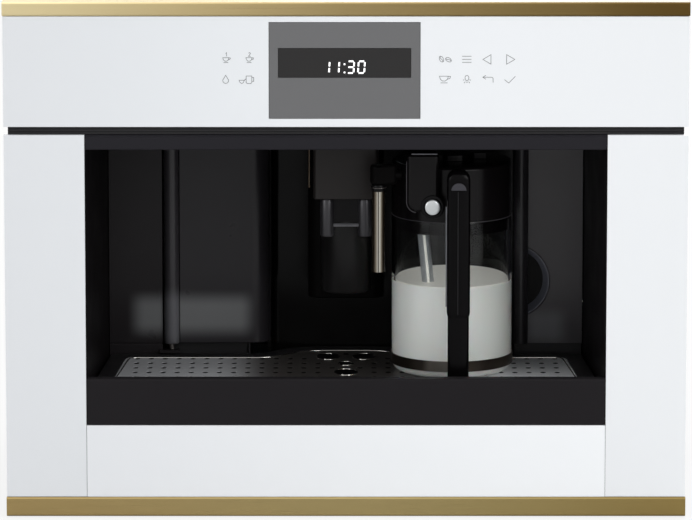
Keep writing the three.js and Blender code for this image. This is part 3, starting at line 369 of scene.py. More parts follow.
# The streaks on the jug's band and the milk spout's tube are painted reflections.
keep("stainless", round_steel_painted_reflection, "band_steel", (90, 86, 83), JUG_SPAN, 0.28, (0, 34, 29, 25),
     (0.24, 44, 38, 32), (0.32, 110, 105, 98), (0.48, 134, 130, 124), (0.6, 66, 58, 50), (0.78, 42, 35, 29),
     (1, 66, 60, 53))
keep("stainless", round_steel_painted_reflection, "spout_steel", (150, 144, 134), OUTLET_SPAN, 0.2, (0, 30, 25, 20),
     (0.2, 52, 44, 34), (0.32, 106, 96, 82), (0.42, 172, 167, 157), (0.5, 46, 40, 32), (0.57, 180, 176, 166),
     (0.74, 92, 84, 70), (0.84, 46, 38, 29), (1, 24, 20, 16))
keep("stainless", brushed, "steel", (205, 203, 199), 0.16, (0.12, 30, 30))
keep("stainless", brushed, "steel_tube", (214, 211, 205), 0.13, (30, 30, 0.1))
keep("dark_metal", brushed, "dark_metal", (92, 88, 86), 0.3, (30, 30, 0.12), 0.85)
keep("zinc_sheet", brushed, "zinc", (138, 140, 144), 0.58, (0.3, 8, 8), 0.7)
keep("copper", brushed, "copper", (186, 120, 84), 0.35, (2, 2, 20))
keep("circuit_board", circuit_board, "circuit_board", (38, 96, 60), (28, 78, 46), (64, 122, 78))
keep("clear_glass", clear, "jug_glass", (240, 242, 242), 0.0, 1.2)
keep("clear_plastic", clear, "clear_plastic", (205, 212, 214), 0.3, 1.4)
# The milk darkens towards the right as painted shade, and glows faintly as painted light.
keep("milk", milk_painted_light, "milk", (0, 232, 234, 231), (0.5, 238, 240, 237), (1, 204, 206, 200))


# ---- Mesh tools ----
def new_object(name, data):
    obj = bpy.data.objects.new(name, data)
    bpy.context.scene.collection.objects.link(obj)
    return obj


def from_bmesh(name, bm, smooth_angle=35):
    bmesh.ops.remove_doubles(bm, verts=bm.verts, dist=1e-7)
    bmesh.ops.recalc_face_normals(bm, faces=bm.faces)
    mesh = bpy.data.meshes.new(name)
    bm.to_mesh(mesh)
    bm.free()
    mesh.shade_smooth()
    mesh.set_sharp_from_angle(angle=radians(smooth_angle))
    return new_object(name, mesh)


def finish(obj, look):
    """Gives a piece or a solid its material."""
    material, slot = LOOKS[look]
    obj.data.materials.clear()
    obj.data.materials.append(material)


def dress(obj, look, body, *stands_for):
    """Gives a new piece its finish and its body, and hides the solids it stands for."""
    finish(obj, look)
    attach(obj, body)
    if stands_for:
        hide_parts(*stands_for)


def bevel(obj, width, segments=3, angle=40):
    modifier = obj.modifiers.new("Bevel", "BEVEL")
    modifier.width = width
    modifier.segments = segments
    modifier.limit_method = "ANGLE"
    modifier.angle_limit = radians(angle)
    modifier.harden_normals = True


def place(axis, a, b, level):
    """A point of a drawing (a, b) at a level along the axis it is raised on."""
    return {"z": (a, b, level), "y": (a, level, b), "x": (level, a, b)}[axis]


def corners(bm, points):
    return [bm.verts.new(point) for point in points]


def skin(bm, rows, closed=True):
    """Joins neighbouring rows of corners by faces; a row of one corner is a tip."""
    for one, other in zip(rows, rows[1:]):
        count = max(len(one), len(other))
        for k in range(count if closed else count - 1):
            n = (k + 1) % count
            face = [one[k % len(one)], one[n % len(one)], other[n % len(other)], other[k % len(other)]]
            if len(set(face)) > 2:
                bm.faces.new(list(dict.fromkeys(face)))


def prism(name, outline, low, high, axis="z"):
    bm = bmesh.new()
    rings = [corners(bm, [place(axis, a, b, level) for a, b in outline]) for level in (low, high)]
    bm.faces.new(rings[0])
    bm.faces.new(rings[1])
    skin(bm, rings)
    return from_bmesh(name, bm)


def lathe(name, profile, centre, segments, axis="z"):
    """Turns a (radius, level) profile; centre is the two other coordinates."""
    bm = bmesh.new()
    rings = [corners(bm, [place(axis, a, b, level) for a, b in
                          ellipse(centre, (radius, radius), segments)[:segments if radius > 1e-9 else 1]])
             for radius, level in profile]
    skin(bm, rings)
    return from_bmesh(name, bm)


def tube(name, points, radius, cyclic=False, resolution=4):
    """A round bead or pipe along a list of points."""
    curve = bpy.data.curves.new(name, "CURVE")
    curve.dimensions = "3D"
    curve.bevel_depth = radius
    curve.bevel_resolution = resolution
    curve.use_fill_caps = True
    spline = curve.splines.new("POLY")
    spline.points.add(len(points) - 1)
    for knot, point in zip(spline.points, points):
        knot.co = (*point, 1.0)
    spline.use_cyclic_u = cyclic
    return new_object(name, curve)


def arc(centre, radius, start, end, steps):
    """Points on an arc, angles in degrees."""
    angles = [radians(start + (end - start) * k / steps) for k in range(steps + 1)]
    return [(centre[0] + radius * cos(angle), centre[1] + radius * sin(angle)) for angle in angles]


def ellipse(centre, half, steps):
    """Points once round, anticlockwise from the right."""
    angles = [2 * pi * k / steps for k in range(steps)]
    return [(centre[0] + half[0] * cos(angle), centre[1] + half[1] * sin(angle)) for angle in angles]


def rounded(x, z, radius):
    """A rectangle with round corners, drawn anticlockwise."""
    right, left, top, bottom = x[1] - radius, x[0] + radius, z[1] - radius, z[0] + radius
    turns = (((right, bottom), -90), ((right, top), 0), ((left, top), 90), ((left, bottom), 180))
    return [point for centre, start in turns for point in arc(centre, radius, start, start + 90, 8)]


def band_profile(bore, outer, low, high, edge):
    """Profile of a ring with chamfered outer edges, or of a pin where the bore is nought."""
    return [(bore, low), (outer - edge, low), (outer, low + edge), (outer, high - edge), (outer - edge, high),
            (bore, high)]


def side_mirrored(side, x=0.0):
    """A left side's points mirrored at x, last one first."""
    return [(2 * x - a, b) for a, b in reversed(side)]


# ---- The solids that stay as they are, with finishes and softened edges ----
CAD_LOOKS = {
    "top_gold": "top_trim",
    "bottom_gold": "bottom_trim",
    "white_glass": "top_glass left_glass right_glass",
    "white_glass_low": "bottom_glass",
    "grey_panel": "display_panel",
    "display_window": "display_window",
    "panel_black": "back_panel_left",
    "wall_black": "niche_wall_left niche_wall_right",
    "strip_black": "drip_tray_front",
    "lintel_black": "lintel",
    "black_smooth": "niche_ceiling",
    "lid_black": "froth_regulator",
    "black_satin": "drip_basin front_frame service_bay grounds_container tank_seat mains_inlet power_switch "
                   "grind_knob",
    "dark_metal": "brew_unit grinder pump",
    "steel": "steam_nozzle",
    "zinc": "mounting_tray casing_wrap casing_top casing_bottom inner_deck rail_inner_left rail_inner_right "
            "rail_middle_left rail_middle_right",
    "clear_plastic": "water_tank bean_hopper hopper_lid",
    "circuit_board": "control_board power_board",
    "copper": "boiler",
}
CAD_BEVELS = {  # by width in millimetres
    0.15: "display_window",
    0.2: "display_panel",
    0.3: "casing_top",
    0.35: "top_glass left_glass right_glass bottom_glass",
    0.4: "niche_wall_left niche_wall_right back_panel_left casing_wrap mounting_tray steam_nozzle",
    0.5: "top_trim bottom_trim lintel",
    0.6: "drip_tray_front service_bay grounds_container water_tank bean_hopper tank_seat",
    0.8: "drip_basin hopper_lid mains_inlet power_switch",
    1: "froth_regulator",
    1.2: "brew_unit grind_knob",
    1.5: "grinder",
    3: "pump",
    4: "boiler",
}
for look, names in CAD_LOOKS.items():
    for name in names.split():
        finish(NODES[name], look)
for width, names in CAD_BEVELS.items():
    for name in names.split():
        weld = NODES[name].modifiers.new("Weld", "WELD")
        weld.merge_threshold = 0.002 * MM
        bevel(NODES[name], width * MM)


# ---- Niche back: recess with round corners, then the flat side behind the jug ----
BACK = lengths(round=18, recess=8, wall=3, door_gap=0.3)


def niche_back():
    low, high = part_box("niche_back")
    wall, start_y = BACK.wall, low.y + BACK.round + 1 * MM
    half = -low.x - wall
    left, right = [(side * (half - BACK.recess), high.y - wall - BACK.recess) for side in (-1, 1)]
    turn = (half + BACK.round, low.y + BACK.round)
    outline = [(-half, start_y)]
    outline += arc(left, BACK.recess, 180, 90, 14) + arc(right, BACK.recess, 90, 0, 14)
    outline += arc(turn, BACK.round, 180, 270, 24)
    outline += [(high.x, low.y), (high.x, low.y + wall)]
    outline += arc(turn, BACK.round - wall, 270, 180, 24)
    outline += arc(right, BACK.recess + wall, 0, 90, 14) + arc(left, BACK.recess + wall, 90, 180, 14)
    outline += [(-half - wall, start_y)]
    dress(prism("niche_back_panel", outline, low.z, high.z), "recess_black", "machine", "niche_back")


# ---- Service door on its half-round bar ----
def half_round_bar(name, node, ends_z):
    """A bar that is round towards the viewer and flat behind."""
    low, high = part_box(node)
    radius = (high.x - low.x) / 2
    centre = ((low.x + high.x) / 2, low.y + radius)
    outline = arc(centre, radius, 180, 360, 36) + [(high.x, high.y), (low.x, high.y)]
    bar = prism(name, outline, *ends_z)
    bevel(bar, 0.8 * MM, 3, 50)
    return bar


def service_door():
    low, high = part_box("service_door")
    outer = BACK.round - BACK.door_gap
    centre = (high.x - outer, low.y + BACK.round)
    outline = [(low.x, low.y)] + arc(centre, outer, -90, 0, 28)
    outline += arc(centre, BACK.round - BACK.wall, 0, -90, 28) + [(low.x, low.y + BACK.wall)]
    door = prism("door_leaf", outline, low.z, high.z)
    bevel(door, 0.9 * MM, 4, 50)
    # The door carries a painted reflection of the drip grid low down, and so does its bar.
    dress(door, "door_black", "service_door", "service_door")
    dress(half_round_bar("door_bar", "hinge_bar", (low.z, high.z)), "bar_gloss", "service_door", "hinge_bar")
    bar_low, bar_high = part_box("hinge_bar")
    profile = band_profile(0, 2.5 * MM, bar_low.z, bar_high.z, 0.3 * MM)
    pin = lathe("door_pin", profile, ((bar_low.x + bar_high.x) / 2, low.y - 1 * MM), 40)
    dress(pin, "dark_metal", "service_door", "hinge_bar")


# ---- Water tank front with its finger recess and pull bar ----
CUP = lengths(x=150.9, above_grid=65.9, mouth=33.9, floor=28, depth=11, edge=1.2, edge_depth=1.1, lift=0.12)
CUP_STEPS = 72


def tank_front():
    low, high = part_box("tank_front")

    def half_disc(radius, depth):
        """Points round the cup, from the top to the bottom of its straight side."""
        reach = degrees(acos((low.x - CUP.x) / radius))
        round_points = arc((CUP.x, GRID_TOP + CUP.above_grid), radius, reach, -reach, CUP_STEPS)
        return [(x, low.y + depth, z) for x, z in round_points]

    def plate_corners(y):
        return corners(bm, [(low.x, y, high.z), (high.x, y, high.z), (high.x, y, low.z), (low.x, y, low.z)])

    bm = bmesh.new()
    rows = [corners(bm, half_disc(radius, depth)) for radius, depth in
            ((CUP.mouth, 0), (CUP.mouth - CUP.edge, CUP.edge_depth), (CUP.floor, CUP.depth))]
    front, back = plate_corners(low.y), plate_corners(high.y)
    bm.faces.new(front + rows[0][::-1])
    skin(bm, rows, False)
    bm.faces.new(rows[-1])
    bm.faces.new(back)
    skin(bm, [front, back], False)
    open_side = [front[3], back[3], back[0], front[0]]
    bm.faces.new(open_side + [row[0] for row in rows] + [row[-1] for row in rows[::-1]])
    # The tank front carries a painted reflection of the drip grid low down.
    dress(from_bmesh("tank_panel", bm, 30), "tank_black", "water_tank", "tank_front")

    # The recess's wall is lightened as a painted highlight and its floor darkened as painted shade.
    cup = CUP.depth - CUP.lift
    rim = CUP.mouth - 1.3 * MM
    shell = bmesh.new()
    rows = [corners(shell, half_disc(radius, depth)) for radius, depth in
            ((rim, CUP.edge_depth), (CUP.floor + CUP.lift, cup), (CUP.floor - 0.6 * MM, cup),
             (rim - 0.6 * MM, CUP.edge_depth), (rim, CUP.edge_depth))]
    skin(shell, rows, False)
    for k in (0, -1):
        shell.faces.new([row[k] for row in rows[:-1]])
    dress(from_bmesh("finger_rim", shell, 30), "cup_rim", "water_tank", "tank_front")
    disc = [(x, z) for x, _, z in half_disc(CUP.floor - 0.7 * MM, 0)]
    floor_y = low.y + cup
    disc = prism("finger_floor", disc, floor_y - 0.2 * MM, floor_y + 0.05 * MM, "y")
    dress(disc, "cup_dark", "water_tank", "tank_front")
    bar = half_round_bar("tank_pull_bar", "tank_bar", (low.z, high.z))
    dress(bar, "bar_gloss", "water_tank", "tank_bar")


niche_back()
service_door()
tank_front()


# ---- Drip tray: perforated steel grid with a raised rim and four drain holes ----
GRID = lengths(hole=(2.6, 4.2), sheet=0.4, sunk=0.6, pitch=(12.54, 21.5), margin=7.5, rim=3, bead=0.8,
               wing_x=110)
DRAIN = lengths(middle_y=-48, front_y=-88, rear_y=-15, spread=16.1, big=(10.2, 14.5), small=(6.8, 9),
                lip=0.55, clear_x=30, clear_y=20)


def signed_area(points):
    return sum(a[0] * b[1] - b[0] * a[1] for a, b in zip(points, points[1:] + points[:1])) / 2


def upper_outline(node):
    """The outer edge of a node's level top, as points in order, anticlockwise from above."""
    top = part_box(node)[1].z
    bm = bmesh.new()
    bm.from_mesh(NODES[node].data)
    bmesh.ops.remove_doubles(bm, verts=bm.verts, dist=0.002 * MM)
    lower = [f for f in bm.faces if f.normal.z < 0.99 or f.calc_center_median().z < top - 0.01 * MM]
    bmesh.ops.delete(bm, geom=lower, context="FACES")
    loop = [min(bm.verts, key=lambda corner: corner.co.x)]
    last = None
    while last is None or loop[-1] != loop[0]:
        here = loop[-1]
        steps = [edge.other_vert(here) for edge in here.link_edges if edge.is_boundary]
        loop.append(next(corner for corner in steps if corner != last))
        last = here
    points = [(corner.co.x, corner.co.y) for corner in loop[:-1]]
    bm.free()
    return points if signed_area(points) > 0 else points[::-1]


def inset(points, distance):
    """An anticlockwise outline drawn inwards by a distance."""
    moved = []
    for before, here, after in zip(points[-1:] + points[:-1], points, points[1:] + points[:1]):
        along = Vector(after) - Vector(before)
        normal = Vector((-along.y, along.x)).normalized()
        moved.append(tuple(Vector(here) + normal * distance))
    return moved


def pierced_plate(name, outline, holes, low, high):
    """A flat plate with an outline and holes, each a list of points, all anticlockwise."""
    points, loops = [], []
    for loop in [outline] + holes:
        loops.append(list(range(len(points), len(points) + len(loop))))
        points += [Vector(p) for p in loop]
    flat, _, faces = delaunay_2d_cdt(points, [], loops, 5, 1e-7)[:3]
    bm = bmesh.new()
    top, bottom = (corners(bm, [(p.x, p.y, z) for p in flat]) for z in (high, low))
    sides = {}
    for face in faces:
        bm.faces.new([top[i] for i in face])
        bm.faces.new([bottom[i] for i in reversed(face)])
        for a, b in zip(face, face[1:] + face[:1]):
            sides[frozenset((a, b))] = sides.get(frozenset((a, b)), 0) + 1
    for pair, count in sides.items():
        if count == 1:
            a, b = pair
            bm.faces.new((top[a], top[b], bottom[b], bottom[a]))
    return from_bmesh(name, bm, 30)


def drip_grid():
    low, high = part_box("drip_grid")
    outline = upper_outline("drip_grid")
    drains = [((0, DRAIN.middle_y), DRAIN.small), ((0, DRAIN.front_y), DRAIN.big)]
    drains += [((side * DRAIN.spread, DRAIN.rear_y), DRAIN.big) for side in (-1, 1)]
    openings = [ellipse(centre, half, 48) for centre, half in drains]
    pitch_x, pitch_y = GRID.pitch
    back_y = max(y for x, y in outline if abs(x) > GRID.wing_x) - GRID.margin
    rows = int((back_y - low.y - GRID.margin) / pitch_y)
    columns = int((high.x - 2 * GRID.margin) / pitch_x)
    centres = [(side * column * pitch_x, back_y - row * pitch_y)
               for side in (-1, 1) for column in range(2, columns + 1) for row in range(rows + 1)]
    beside = [p for p in centres if abs(p[0]) > DRAIN.clear_x or abs(p[1] - DRAIN.rear_y) > DRAIN.clear_y]
    between = [(-pitch_x, back_y - 2 * pitch_y), (pitch_x, back_y - 2 * pitch_y),
               (0, DRAIN.front_y - 21 * MM), (0, DRAIN.rear_y + 13 * MM)]
    holes = [ellipse(p, GRID.hole, 14) for p in beside + between]
    sheet_top = high.z - GRID.sunk
    sheet_low = sheet_top - GRID.sheet
    plate = pierced_plate("grid_plate", outline, openings + holes, sheet_low, sheet_top)
    dress(plate, "grid_steel", "drip_tray", "drip_grid")
    # A black sheet just under the plate: painted shade seen through the holes.
    shade = pierced_plate("grid_shade", inset(outline, 1 * MM), openings, low.z, sheet_low - 0.05 * MM)
    dress(shade, "shell_black", "drip_tray", "drip_grid")
    beads = {"grid_rim": (inset(outline, GRID.rim), GRID.bead)}
    for number, (centre, half) in enumerate(drains, 1):
        beads["drain_lip_%d" % number] = (ellipse(centre, half, 64), DRAIN.lip)
    for name, (line, radius) in beads.items():
        bead = tube(name, [(x, y, high.z - radius) for x, y in line], radius, True, 5)
        dress(bead, "steel_tube", "drip_tray", "drip_grid")


# ---- Coffee spout: guide column, sliding block and two outlets ----
SPOUT = lengths(guide_y=-44, column=22.5, outlet=(16.6, -90), tip=6.4, bore=3.6, shell_front=-40)


def ring_profile(outer, bore, low, high, edge):
    """Profile of an open tube with rounded ends, drawn once round."""
    soft = edge * 0.3
    return [(bore, low + edge), (bore + edge, low), (outer - edge, low), (outer - soft, low + soft),
            (outer, low + edge), (outer, high - edge), (outer - soft, high - soft), (outer - edge, high),
            (bore + edge, high), (bore, high - edge), (bore, low + edge)]


def coffee_spout():
    low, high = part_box("spout_block")
    half_x, corner = high.x, 5 * MM
    side = arc((-half_x + corner, low.y + corner + 1.5 * MM), corner, 180, 264, 10)
    groove = arc((0, high.y), SPOUT.column + 0.7 * MM, 0, -180, 18)
    outline = side + [(0, low.y)] + side_mirrored(side) + [(half_x, high.y)] + groove + [(-half_x, high.y)]
    block = prism("spout_block_body", outline, low.z, high.z)
    bevel(block, 1.1 * MM, 4, 45)
    dress(block, "block_black", "coffee_spout", "spout_block")

    out_low, out_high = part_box("spout_outlets")
    outlet_x, outlet_y = SPOUT.outlet
    profile = ring_profile(SPOUT.tip, SPOUT.bore, out_low.z, out_high.z, 1 * MM)
    for word, x in {"left": -outlet_x, "right": outlet_x}.items():
        tip = lathe("outlet_" + word, profile, (x, outlet_y), 64)
        dress(tip, "outlet_grey", "coffee_spout", "spout_outlets")
    web_low, inner = out_low.z + 5 * MM, outlet_x - SPOUT.tip + 1 * MM
    arch = arc((0, web_low - 2.2 * MM), 10.5 * MM, 168, 12, 26)
    web = [(-inner, out_high.z), (-inner, web_low)] + arch + [(inner, web_low), (inner, out_high.z)]
    panel = prism("outlet_web", web, outlet_y - 1.5 * MM, outlet_y + 1.5 * MM, "y")
    dress(panel, "black_smooth", "coffee_spout", "spout_outlets")
    # The light grey ledge across the outlets stands for its lit chamfer: a painted highlight.
    section = [(outlet_y - forward * MM, web_low + up * MM) for forward, up in
               ((4.5, 4.2), (4.8, 5), (3.6, 6.6), (1.2, 6.6), (1.2, 4.2))]
    ledge = prism("outlet_ledge", section, -inner, inner, "x")
    dress(ledge, "ledge_grey", "coffee_spout", "spout_outlets")


def spout_housing():
    low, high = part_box("spout_housing")
    half, corner = high.x, 12 * MM
    side = arc((-half + corner, SPOUT.shell_front + corner), corner, 180, 270, 14)
    outline = [(-half, high.y)] + side + side_mirrored(side) + [(half, high.y)]
    shell = prism("housing_shell", outline, low.z, high.z)
    bevel(shell, 1.5 * MM, 4, 60)
    dress(shell, "shell_black", "machine", "spout_housing")
    base = low.z + 8 * MM
    radius, edge = SPOUT.column, 2.5 * MM
    profile = [(0, base), (radius - edge, base), (radius - edge * 0.3, base + edge * 0.3),
               (radius, base + edge), (radius, high.z), (0, high.z)]
    dress(lathe("guide_column", profile, (0, SPOUT.guide_y), 96), "column_black", "machine", "spout_housing")
    # A light brown line down the housing's left edge: a painted highlight.
    housing_highlight_x, housing_highlight_y = -half + 1.2 * MM, SPOUT.shell_front + corner - 6 * MM
    housing_highlight_ends = [(housing_highlight_x, housing_highlight_y, z) for z in (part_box("spout_block")[0].z, high.z - 1 * MM)]
    housing_highlight = tube("housing_edge_highlight", housing_highlight_ends, 0.7 * MM)
    dress(housing_highlight, "trim_brown", "machine", "spout_housing")


drip_grid()
spout_housing()
coffee_spout()


# ---- Milk jug: glass with milk, steel band, lid, froth column and handle ----
JUG_CENTRE = (JUG.x, JUG.y)


def jug_piece(obj, look, stands_for):
    dress(obj, look, "milk_jug", stands_for)


def jug_round(name, profile, look, stands_for):
    jug_piece(lathe(name, profile, JUG_CENTRE, 160), look, stands_for)


def bowl_profile(radius, corner, low, high):
    """From the axis along the bottom, round the corner and up the wall."""
    bottom = [(0, low), (radius - corner, low)]
    return bottom + arc((radius - corner, low + corner), corner, -90, 0, 10)[1:] + [(radius, high)]


def jug_and_milk():
    low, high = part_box("jug_glass")
    inner = JUG.radius - JUG.wall
    wall_top, inner_corner, floor = high.z - 1 * MM, JUG.corner - JUG.wall + JUG.base, low.z + JUG.base
    outside = bowl_profile(JUG.radius, JUG.corner, low.z, wall_top)
    inside = bowl_profile(inner, inner_corner, floor, wall_top)
    rim = arc((JUG.radius - JUG.wall / 2, wall_top), JUG.wall / 2, 0, 180, 10)[1:-1]
    jug_round("jug_wall", outside + rim + inside[::-1], "jug_glass", "jug_glass")
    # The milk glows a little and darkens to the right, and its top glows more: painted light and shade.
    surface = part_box("milk")[1].z
    overlap = 0.12 * MM
    body = bowl_profile(inner + overlap, inner_corner, floor - overlap, surface - 0.4 * MM)
    body += [(inner - 1.8 * MM, surface - 0.6 * MM), (0, surface - 0.6 * MM)]
    jug_round("milk_fill", body, "milk", "milk")
    top = [(0, surface - 0.5 * MM), (inner - 1.2 * MM, surface - 0.5 * MM), (inner, surface - 0.3 * MM),
           (inner - 0.4 * MM, surface + 0.3 * MM), (inner - 1.8 * MM, surface - 0.1 * MM),
           (0, surface - 0.15 * MM)]
    jug_round("milk_surface", top, "milk_top", "milk")
    band_low, band_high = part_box("jug_band")
    outer = (band_high.x - band_low.x) / 2
    hoop = band_profile(outer - 0.8 * MM, outer, band_low.z, band_high.z, 0.35 * MM)
    # The band's streaks are painted reflections.
    jug_round("steel_band", hoop + hoop[:1], "band_steel", "jug_band")


INTAKE = lengths(box_radius=5.3, pipe=5.2, core=1.3)
CORE_OFFSET = Vector(mm(0.6, -4.6, 0))


def intake_tube():
    low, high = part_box("intake_tube")
    middle_y = (low.y + high.y) / 2
    route = [Vector((high.x - INTAKE.box_radius, middle_y, low.z + 1 * MM)),
             Vector((low.x + INTAKE.box_radius, middle_y, high.z - 1 * MM))]
    jug_piece(tube("intake_pipe", route, INTAKE.pipe, False, 10), "frosted", "intake_tube")
    # The milk core glows: painted light.
    core = [point + CORE_OFFSET for point in route]
    jug_piece(tube("intake_core", core, INTAKE.core, False, 5), "milk_top", "intake_tube")


LID = lengths(radius=53.3, skirt=50.6, wall=3, edge=3.5, floor=7)


def jug_lid():
    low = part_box("jug_lid")[0]
    rim_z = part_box("jug_glass")[1].z + 0.3 * MM
    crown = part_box("froth_regulator")[0].z - 0.3 * MM
    radius, skirt, bore, chamfer = LID.radius, LID.skirt, LID.skirt - LID.wall, 0.5 * MM
    profile = [(0, low.z + LID.floor), (bore, low.z + LID.floor), (bore, low.z + chamfer),
               (bore + chamfer, low.z), (skirt - chamfer, low.z), (skirt, low.z + chamfer), (skirt, rim_z),
               (radius - 0.4 * MM, rim_z), (radius, rim_z + chamfer), (radius, crown - LID.edge)]
    profile += arc((radius - LID.edge, crown - LID.edge), LID.edge, 0, 90, 8)[1:] + [(0, crown)]
    jug_round("lid_cap", profile, "lid_black", "jug_lid")
    seal = radius + 0.05 * MM
    line = [(x, y, rim_z - 0.15 * MM) for x, y in ellipse(JUG_CENTRE, (seal, seal), 120)]
    jug_piece(tube("lid_seal", line, 0.3 * MM, True), "seam_dim", "jug_lid")


COLUMN = lengths(x=(53.5, 82.1), y=(-139, -107), z=(262.2, 315.2), corner=9)
BUTTON = lengths(centre=(76, 267.4), ring=10.3, ring_y=(-141, -134))


def froth_column():
    (x0, x1), (y0, y1), (z0, z1) = COLUMN.x, COLUMN.y, COLUMN.z
    corner = COLUMN.corner
    middle = (x0 + corner, z0 + corner)
    face = [(x1, z1), (x0, z1)] + arc(middle, corner, 180, 270, 10) + [(x1, z0)]
    column = prism("froth_column", face, y0, y1, "y")
    bevel(column, 4.5 * MM, 8, 45)
    jug_piece(column, "lid_black", "jug_lid")
    # A dim line round the column's edge and a lighter one along its top: painted highlights.
    seam = [(x0 - 0.3 * MM, z1 - 8 * MM), (x0 - 0.3 * MM, z0 + corner)]
    seam += arc(middle, corner + 0.3 * MM, 180, 262, 12)
    jug_piece(tube("column_edge_highlight", [(x, y0 + 3.4 * MM, z) for x, z in seam], 0.35 * MM), "seam_dim", "jug_lid")
    highlight_line = [(x, y0 + 0.6 * MM, z1 - 0.9 * MM) for x in (x0 + 4 * MM, x1 - 2 * MM)]
    jug_piece(tube("column_top_highlight", highlight_line, 0.45 * MM), "seam_grey", "jug_lid")
    ring_front, ring_back = BUTTON.ring_y
    button_low, button_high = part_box("froth_button")
    outer, edge, hole = BUTTON.ring, 0.9 * MM, (button_high.x - button_low.x) / 2 + 0.35 * MM
    profile = [(hole, ring_back), (hole, ring_front + edge), (hole + edge, ring_front),
               (outer - edge, ring_front), (outer - edge * 0.3, ring_front + edge * 0.3),
               (outer, ring_front + edge), (outer, ring_back), (hole, ring_back)]
    jug_piece(lathe("button_ring", profile, BUTTON.centre, 72, "y"), "black_smooth", "jug_lid")


def froth_button():
    low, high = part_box("froth_button")
    radius, edge = (high.x - low.x) / 2, 0.9 * MM
    dome = [(0, low.y), (radius * 0.5, low.y + 0.12 * MM), (radius - edge, low.y + 0.35 * MM),
            (radius - edge * 0.25, low.y + 0.75 * MM), (radius, low.y + 1.5 * MM), (radius, high.y),
            (0, high.y)]
    centre = ((low.x + high.x) / 2, (low.z + high.z) / 2)
    dress(lathe("button_cap", dome, centre, 72, "y"), "silver", "froth_button", "froth_button")


HANDLE = lengths(x=98.6, front=-160, back=-146, upper=10.2, lower=9.3, step_z=172, ridge=1.1, dome=9, arm=7)
HANDLE_ARMS = {"lower": mm(114.9, 130.9), "upper": mm(228.2, 244.2)}


def grip_section(half, front, bulge):
    """D-shaped section: a softly rounded front with tight corners, flat behind."""
    side = [(HANDLE.x - half, HANDLE.back)]
    side += arc((HANDLE.x - half + bulge, front + HANDLE.ridge + bulge), bulge, 180, 258, 8)
    return side + [(HANDLE.x, front)] + side_mirrored(side, HANDLE.x)


def jug_handle():
    low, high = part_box("jug_handle")
    front, back, step = HANDLE.front, HANDLE.back, HANDLE.step_z
    lower = prism("handle_lower", grip_section(HANDLE.lower, front + 0.8 * MM, 4 * MM), low.z, step + 2 * MM)
    bevel(lower, 1.2 * MM, 4, 50)
    jug_piece(lower, "handle_black", "jug_handle")
    shoulder = high.z - HANDLE.dome
    # The upper grip's levels, each with its share of the full section.
    levels = [(step, 0.86), (step + 1.5 * MM, 0.95), (step + 4 * MM, 1), (shoulder, 1)]
    levels += [(shoulder + HANDLE.dome * sin(radians(a)), cos(radians(a)))
               for a in (15, 30, 45, 58, 70, 80)]
    bm = bmesh.new()
    rows = []
    for z, share in levels:
        section = grip_section(HANDLE.upper * share, front + (1 - share) * 5 * MM, max(4 * share, 0.6) * MM)
        rows.append(corners(bm, [(x, y, z) for x, y in section]))
    bm.faces.new(rows[0])
    bm.faces.new(rows[-1])
    skin(bm, rows)
    jug_piece(from_bmesh("handle_grip", bm, 40), "handle_black", "jug_handle")
    for word, span in HANDLE_ARMS.items():
        section = rounded((HANDLE.x - HANDLE.arm, HANDLE.x + HANDLE.arm), span, 3 * MM)
        arm = prism("handle_arm_" + word, section, back - 1 * MM, JUG.y - JUG.radius + 0.6 * MM, "y")
        jug_piece(arm, "handle_black", "jug_handle")
    # A light line down the grip's left edge, a dim line on its ridge and a grey half disc on its top: painted
    # highlights.
    highlight_x = HANDLE.x - HANDLE.upper - 0.2 * MM
    highlight_line = [(highlight_x, back - 1.2 * MM, z) for z in (step + 8 * MM, high.z - 34 * MM)]
    jug_piece(tube("handle_edge_highlight", highlight_line, 0.8 * MM, False, 5), "seam_grey", "jug_handle")
    ridge_highlight_line = [(HANDLE.x - 0.6 * MM, front - 0.05 * MM, z) for z in (step + 3 * MM, high.z - 19 * MM)]
    jug_piece(tube("handle_ridge_highlight", ridge_highlight_line, 0.3 * MM), "ridge_dark", "jug_handle")
    half_disc = arc((HANDLE.x, high.z - 17.5 * MM), 6.6 * MM, 0, 180, 24)
    cap = prism("handle_top_highlight", half_disc, front - 0.15 * MM, front + 2 * MM, "y")
    bevel(cap, 0.5 * MM, 3, 50)
    jug_piece(cap, "cap_grey", "jug_handle")


